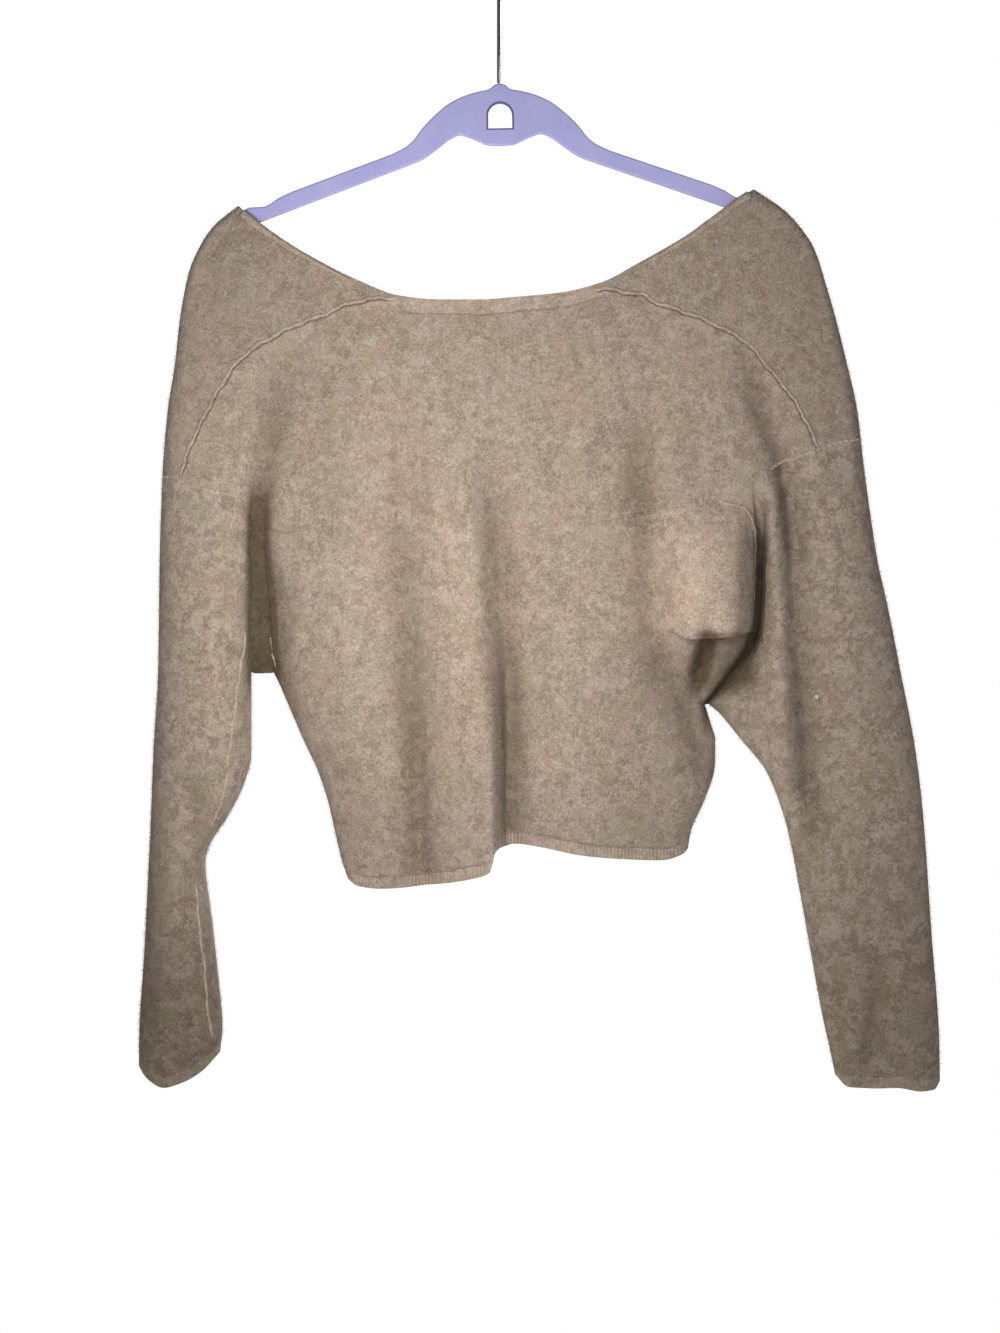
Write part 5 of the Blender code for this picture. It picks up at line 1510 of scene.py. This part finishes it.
# ---------------------------------------------------------------- seams
def seam_lines(surface):
    """Each raised seam's rows of place and normal, with the side that its lower edge is on:
    the yokes' four halves, then both armholes."""
    found = []
    for rows, last_drop in RAISED_SEAMS:
        line = rounded(rows, 160)
        x, drop = line.T
        turn = 1 if x[0] < 0 else -1
        kept = (x < ARM_SEAM_ENDS[0]) | (x > ARM_SEAM_ENDS[1]) | (drop < CHEST)
        if last_drop:
            kept &= drop < last_drop
        line = line[kept]
        met = []
        for side, neck in (("back", BACK_NECK), ("front", FRONT_NECK)):
            clear = line[:, 1] > read(neck, "drop", line[:, 0], by="x") + BELOW_NECK
            met.append(surface.over(line[clear], side))
        back, front = met
        if last_drop:
            found += [(back, turn), (front[::-1], turn)]
        else:
            found.append((np.vstack([back[::-1], front]), turn))
    return found


def underarm_lines(surface):
    """As seam_lines, for the seam ends that come out of the tucks."""
    lines = ((SEAM_OVER_LOBE, 1), (BODY_SIDE_LEFT, -1))
    lines += ((UNDERARM_LEFT, -1), (UNDERARM_LEFT_LOW, -1), (UNDERARM_RIGHT, 1))
    return [(surface.over(rounded(rows, 80), "back"), turn) for rows, turn in lines]


def ridge_meshes(lines, size, foot=0.0):
    """Points and faces of closed soft ridges over the cloth, which sway a little and have
    their steep side on the foot side."""
    points, faces = [], []
    profile = np.array(RIDGE)
    n = len(profile)
    for rows, turn in lines:
        rows = evened(rows, size["step"])
        place, normal = rows[:, :3], rows[:, 3:]
        normal = normal / np.linalg.norm(normal, axis=1, keepdims=True)
        run = np.gradient(place, axis=0)
        side = turn * np.cross(normal, run)
        side /= np.linalg.norm(side, axis=1, keepdims=True)
        along = np.arange(len(rows)) * size["step"]
        sway = sum(s * np.sin(2 * math.pi * along / w + p) for w, p, s in SWAYS)
        ends = np.clip(np.minimum(along, along[-1] - along) / RIDGE_TAPER, 0.08, 1) ** 0.5
        width, height = (
            size[key] * ends * (1 + share * np.sin(2 * math.pi * along / length + phase))
            for key, (share, length, phase) in RIDGE_WAVES.items()
        )
        shift = size["sway"] * sway + foot
        out = profile[None, :, 0] * width[:, None] + shift[:, None]
        up = profile[None, :, 1] * height[:, None] + WALL / 2
        ring = place[:, None] + side[:, None] * out[..., None] + normal[:, None] * up[..., None]
        first = len(points)
        points += list(ring.reshape(-1, 3))
        for i in range(len(rows) - 1):
            for j in range(n):
                a, b = first + i * n + j, first + i * n + (j + 1) % n
                quad = (a, b, b + n, a + n)
                faces.append(quad if turn > 0 else quad[::-1])
        start, end = tuple(range(first, first + n)), tuple(range(len(points) - n, len(points)))
        faces += [start[::-1], end] if turn > 0 else [start, end[::-1]]
    return points, faces


def neck_roll_paths(surface):
    """The yokes' rolled neckline edges, from each shoulder tip to the neck band."""
    paths = []
    for side, rows in (("back", BACK_NECK), ("front", FRONT_NECK)):
        for low, high in NECK_ROLL_SPANS[side]:
            x = np.linspace(low, high, 90)
            drop = read(rows, "drop", x, by="x") + NECK_ROLL["down"]
            rows_over = surface.over(np.stack([x, drop], axis=-1), side)
            path = lifted(rows_over, NECK_ROLL["out"])
            t = np.linspace(0, 1, len(path))
            toward_band = t if abs(high) < abs(low) else 1 - t
            radius = np.clip(1.0 - toward_band, 0, 1) ** 0.5
            radius *= np.clip((1 - np.abs(2 * t - 1)) / NECK_ROLL["taper"], NECK_ROLL["tip"], 1)
            paths.append(np.column_stack([path, np.clip(radius, NECK_ROLL["least"], 1)]))
    return paths


def rib_bars(surface, rows, side, points, faces):
    """Adds upright bars across a ribbed band: arrays of small rounded ridges."""
    ring = [math.radians(a) for a in range(0, 181, 45)]
    n = len(ring)
    start, end = rows["x"][0] + RIB["margin"], rows["x"][-1] - RIB["margin"]
    for at in np.arange(start, end, RIB["pitch"]):
        drop = float(read(rows, "drop", at, by="x"))
        ends = [surface.meet(at, drop + RIB[end], side) for end in ("top", "bottom")]
        if None in ends or abs(ends[0][1].y) < RIB["facing"]:
            continue
        first = len(points)
        for place, normal in ends:
            along = Vector((1, 0, 0)) - normal * normal.x
            along.normalize()
            for angle in ring:
                out = normal * (WALL / 2 - RIB["sunk"] + RIB["height"] * math.sin(angle))
                points.append(place + out + along * (RIB["half_width"] * math.cos(angle)))
        for i in range(n - 1):
            quad = (first + i, first + i + 1, first + n + i + 1, first + n + i)
            faces.append(quad if side == "front" else quad[::-1])
        faces.append((first, first + n, first + 2 * n - 1, first + n - 1))
        faces.append(tuple(range(first + n - 1, first - 1, -1)))
        faces.append(tuple(range(first + n, first + 2 * n)))


# ---------------------------------------------------------------- hanger
def inset_loop(loop, distance):
    """The closed loop moved to the left of its run by a distance."""
    loop = np.array(loop)
    run = np.roll(loop, -1, axis=0) - loop
    run /= np.linalg.norm(run, axis=1, keepdims=True)
    left = np.stack([-run[:, 1], run[:, 0]], axis=-1)
    both = left + np.roll(left, 1, axis=0)
    both /= np.maximum((both * left).sum(1, keepdims=True), 0.5)
    return loop + both * distance


def counterclockwise(loop):
    """The loop of (x, z), turned round if it runs clockwise."""
    x, z = np.array(loop).T
    area = (x * np.roll(z, -1) - np.roll(x, -1) * z).sum()
    return loop if area > 0 else loop[::-1]


def arch_hole():
    """Outline of the arched window in the hanger's head."""
    half = ARCH["width"] / 2
    spring = NUB - ARCH["top"] - half
    turn = [math.radians(a) for a in range(0, 181, 10)]
    arch = [(half * math.cos(a), spring + half * math.sin(a)) for a in turn]
    return arch + [(-half, NUB - ARCH["floor"]), (half, NUB - ARCH["floor"])]


def rounded_edge():
    """Inset and y of each step round the hanger's edge, from its back to its front."""
    flat = HANGER_THICK / 2 - HANGER_ROUND
    corner = [math.radians(a) for a in range(90, -1, -30)]
    steps = [(HANGER_ROUND * (1 - math.cos(a)), -flat - HANGER_ROUND * math.sin(a)) for a in corner]
    return steps + [(inset, -y) for inset, y in steps[::-1]]


def flat_faces(points, rings, turned):
    """Triangles of the flat side between an outline and the hole in it."""
    flat_rings = [[Vector((points[p][0], points[p][2], 0)) for p in ring] for ring in rings]
    order = [p for ring in rings for p in ring]
    faces = []
    for corners in tessellate_polygon(flat_rings):
        a, b, c = (np.array(points[order[i]])[[0, 2]] for i in corners)
        upright = np.cross(b - a, c - a) > 0
        face = [order[i] for i in corners]
        faces.append(tuple(face if upright != turned else face[::-1]))
    return faces


def hanger_piece(finish, window_shade_finish):
    """The flocked hanger with rounded edges, turned on its nub to its tilt."""
    outside = counterclockwise(hanger_half(1) + hanger_half(-1)[::-1][1:-1])
    arch = counterclockwise(arch_hole())[::-1]
    levels = rounded_edge()
    points, faces, fronts, backs, window = [], [], [], [], []
    for loop in (outside, arch):
        n = len(loop)
        first = len(points)
        for inset, y in levels:
            points += [(x, y, z) for x, z in inset_loop(loop, inset)]
        for k in range(len(levels) - 1):
            for i in range(n):
                a, b = first + k * n + i, first + k * n + (i + 1) % n
                faces.append((a, b, b + n, a + n))
        window += [loop is arch] * (n * (len(levels) - 1))
        fronts.append(list(range(first, first + n)))
        backs.append(list(range(first + n * (len(levels) - 1), first + n * len(levels))))
    walls = len(faces)
    faces += flat_faces(points, fronts, False) + flat_faces(points, backs, True)
    stand = Matrix.Translation((HANGER_MIDDLE, 0, -NUB)) @ Matrix.Rotation(-HANGER_TILT, 4, "Y")
    stand = np.array(stand)
    points = np.array(points) @ stand[:3, :3].T + stand[:3, 3]
    obj = mesh_piece("hanger_velvet", points, faces, finish, sharp=HANGER_SHARP)
    obj.data.materials.append(window_shade_finish)
    for face in obj.data.polygons:
        face.use_smooth = face.index < walls
        # The window's walls take the second finish, which paints shade on them.
        face.material_index = int(face.index < walls and window[face.index])
    return obj


def hook_piece(cords, finish):
    """The wire hook, swept round along its middle line."""
    bend = HOOK_RADIUS + WIRE_RADIUS
    line = list(zip(SHANK["y"], SHANK["z"]))
    for degrees in CROWN_TURN:
        a = math.radians(degrees)
        line.append((bend * math.cos(a), bend * math.sin(a) - HOOK_RADIUS))
    line.append((line[-1][0] + TIP_RUN[0], line[-1][1] + TIP_RUN[1]))
    path = evened([(0.0, y, z) for y, z in line])
    values = {"Radius": WIRE_RADIUS, "Wander": 0.0, "Seed": 1.0, "Material": finish}
    return cords.follow("hook_wire_chrome", [path], "hook_wire", **values)


# ---------------------------------------------------------------- making
def make_sweater():
    """All the cloth and what is sewn on it. Returns the tree that sweeps cords."""
    felts = {key: felt_finish(*look) for key, look in FELTS.items()}
    cloth, faces = build_cloth()
    surface = Surface(cloth, faces)
    shells, pieces = {}, {}
    for node, group in sewn_pieces(cloth, faces).items():
        look = CUTS[node][0]
        piece = shell(f"{node}_knit", cloth, group, felts[look])
        shells[node] = dress(piece, "rib" if look == "rib" else "felt", node)
    cords = cord_tree()
    add_seams(surface, felts, pieces, cords, stitch_tree())
    bars, bar_faces = [], []
    for rows, side in ((BACK_HEM, "back"), (FRONT_HEM, "front")):
        rib_bars(surface, rows, side, bars, bar_faces)
    pieces["hem_ribs"] = dress(mesh_piece("hem_ribs", bars, bar_faces, felts["rib"]), "rib")
    pieces["wool_pill"] = dress(pill_piece(surface), "felt")

    fuzz = fuzz_tree()
    strand = hair_object()
    for seed, (node, density) in enumerate(FUZZ.items()):
        name = f"{node}_fuzz"
        values = {"Density": density, "Hair": strand, "Seed": FUZZ_SEED + seed}
        pieces[name] = fuzz.grow(name, shells[node], "felt", Material=felts["hair"], **values)
    bpy.data.objects.remove(strand)

    for node, (_, width, length, area, held_by) in CUTS.items():
        names = (f"{node}_fuzz", *SEWN_ON.get(node, ()))
        going = [pieces[name] for name in names if name in pieces]
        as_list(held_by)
    return cords


def add_seams(surface, felts, pieces, cords, stitches):
    """Raised and rolled edges, strips of painted shadow, and the threads that show."""

    def ridge(name, lines, size, look, slot="felt", foot=0.0):
        piece = mesh_piece(name, *ridge_meshes(lines, size, foot), felts[look])
        pieces[name] = dress(piece, slot)

    raised = seam_lines(surface)
    yokes, armholes = raised[:4], raised[4:]
    underarms = underarm_lines(surface)
    ridge("raised_seams", yokes, SEAM, "edge")
    ridge("armhole_seams", armholes, ARM_SEAM, "edge")
    ridge("underarm_seams", underarms[:2], LOBE_SEAM, "edge")
    ridge("left_underarm_seams", underarms[2:4], UNDERARM_SEAM, "sleeve edge")
    # A strip of painted shadow along the dark crease right of the lobe.
    ridge("sunk_underarm_seam", underarms[4:], SEAM_SHADE, "crease")
    # A strip of painted shadow along each yoke seam's lower side.
    ridge("seam_feet", yokes, SEAM_SHADE, "foot", foot=SEAM["half_width"] * FOOT_OFF)
    pieces["rolled_neck_edges"] = cords.follow(
        "rolled_neck_edges", neck_roll_paths(surface), "felt",
        Radius=NECK_ROLL["radius"], Wander=NECK_ROLL["wander"], Seed=9.0, Material=felts["edge"],
    )

    bands = []
    for side, edge, below, low, high in STITCH_LINES:
        x = np.linspace(low, high, 200)
        drop = read(edge, "drop", x, by="x") + below
        rows = surface.over(np.stack([x, drop], axis=-1), side)
        bands.append((rows, 1 if side == "back" else -1))
    # Strips of painted shadow in the bands' creases along their stitch lines.
    ridge("band_creases", bands, BAND_SHADE, "crease", "rib")
    paths = [lifted(rows, WALL / 2) for rows, _ in bands]
    pieces["band_stitches"] = stitches.follow(
        "band_stitches", paths, "rib", Material=felts["thread"], **BAND_STITCH
    )
    facing = [rows[turn * rows[:, 4] > STITCH_FACING] for rows, _ in armholes for turn in (-1, 1)]
    paths = [lifted(rows, WALL / 2 + ARM_SEAM["height"]) for rows in facing]
    pieces["seam_stitches"] = stitches.follow(
        "seam_stitches", paths, "felt", Material=felts["pale"], **SEAM_STITCH
    )


def pill_piece(surface):
    """A small pale pill of wool caught on the sleeve."""
    place, normal = surface.meet(PILL["x"], PILL["drop"], "back")
    place = place + normal * (WALL / 2 + PILL["radius"] * 0.4)
    finish = plain_finish("pale wool", PILL_TONE, Roughness=0.9)
    ball = bmesh.ops.create_icosphere
    piece = moulded("wool_pill", finish, place, ball, subdivisions=2, radius=PILL["radius"])
    piece.data.shade_smooth()
    return piece


def make_hanger(cords):
    # Painted shade for the hanger window's walls.
    rim = plain_finish("window rim", VELVET_WINDOW_SHADE, Roughness=0.8, Specular_IOR_Level=0.2)
    dress(hanger_piece(velvet_finish(), rim), "velvet", "hanger_body")
    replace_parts(hook_piece(cords, chrome_finish()), "hanger_hook")


# ---------------------------------------------------------------- room, lights, camera
def make_room():
    """A round pale floor under the hanging sweater and an even white surround."""
    pale = plain_finish(
        "pale floor", (0.86, 0.86, 0.86), Roughness=0.9, Emission_Color=(1, 1, 1),
        Emission_Strength=FLOOR_GLOW,
    )
    circle = bmesh.ops.create_circle
    place = (0, 0, FLOOR["z"])
    moulded("floor", pale, place, circle, cap_ends=True, segments=96, radius=FLOOR["radius"])
    world = bpy.data.worlds.new("white surround")
    world.use_nodes = True
    sky = Nodes(world.node_tree)
    sky.tree.nodes.clear()
    seen = sky.make("ShaderNodeBackground", None, {"Color": (1, 1, 1), "Strength": 1.0})
    cast = sky.make("ShaderNodeBackground", None, SURROUND)
    rays = sky.make("ShaderNodeLightPath", output="Is Camera Ray")
    pick = sky.make("ShaderNodeMixShader", None, {0: rays, 1: cast, 2: seen})
    sky.make("ShaderNodeOutputWorld", None, {"Surface": pick})
    bpy.context.scene.world = world


def aim(obj, place, target):
    obj.location = place
    obj.rotation_euler = (Vector(target) - Vector(place)).to_track_quat("-Z", "Y").to_euler()


def make_lights():
    for name, place, target, size, power, colour in LIGHTS:
        lamp = bpy.data.lights.new(name, "AREA")
        lamp.shape = "SQUARE"
        lamp.size = size
        lamp.energy = power
        lamp.color = colour
        obj = placed(name, lamp)
        obj.visible_camera = False
        aim(obj, place, target)


def make_camera():
    """Level and straight on to the garment, at about the height of its middle."""
    cam = bpy.data.cameras.new("camera")
    cam.sensor_fit = "VERTICAL"
    cam.sensor_height = SENSOR
    cam.lens = SENSOR * CAMERA["distance"] / CAMERA["field"]
    cam.clip_end = 100
    obj = placed("camera", cam)
    target = (CAMERA["x"], 0, CAMERA["z"])
    aim(obj, (CAMERA["x"], -CAMERA["distance"], CAMERA["z"]), target)
    bpy.context.scene.camera = obj


make_camera()
make_room()
make_lights()
bpy.context.scene.view_settings.view_transform = "Standard"
make_hanger(make_sweater())
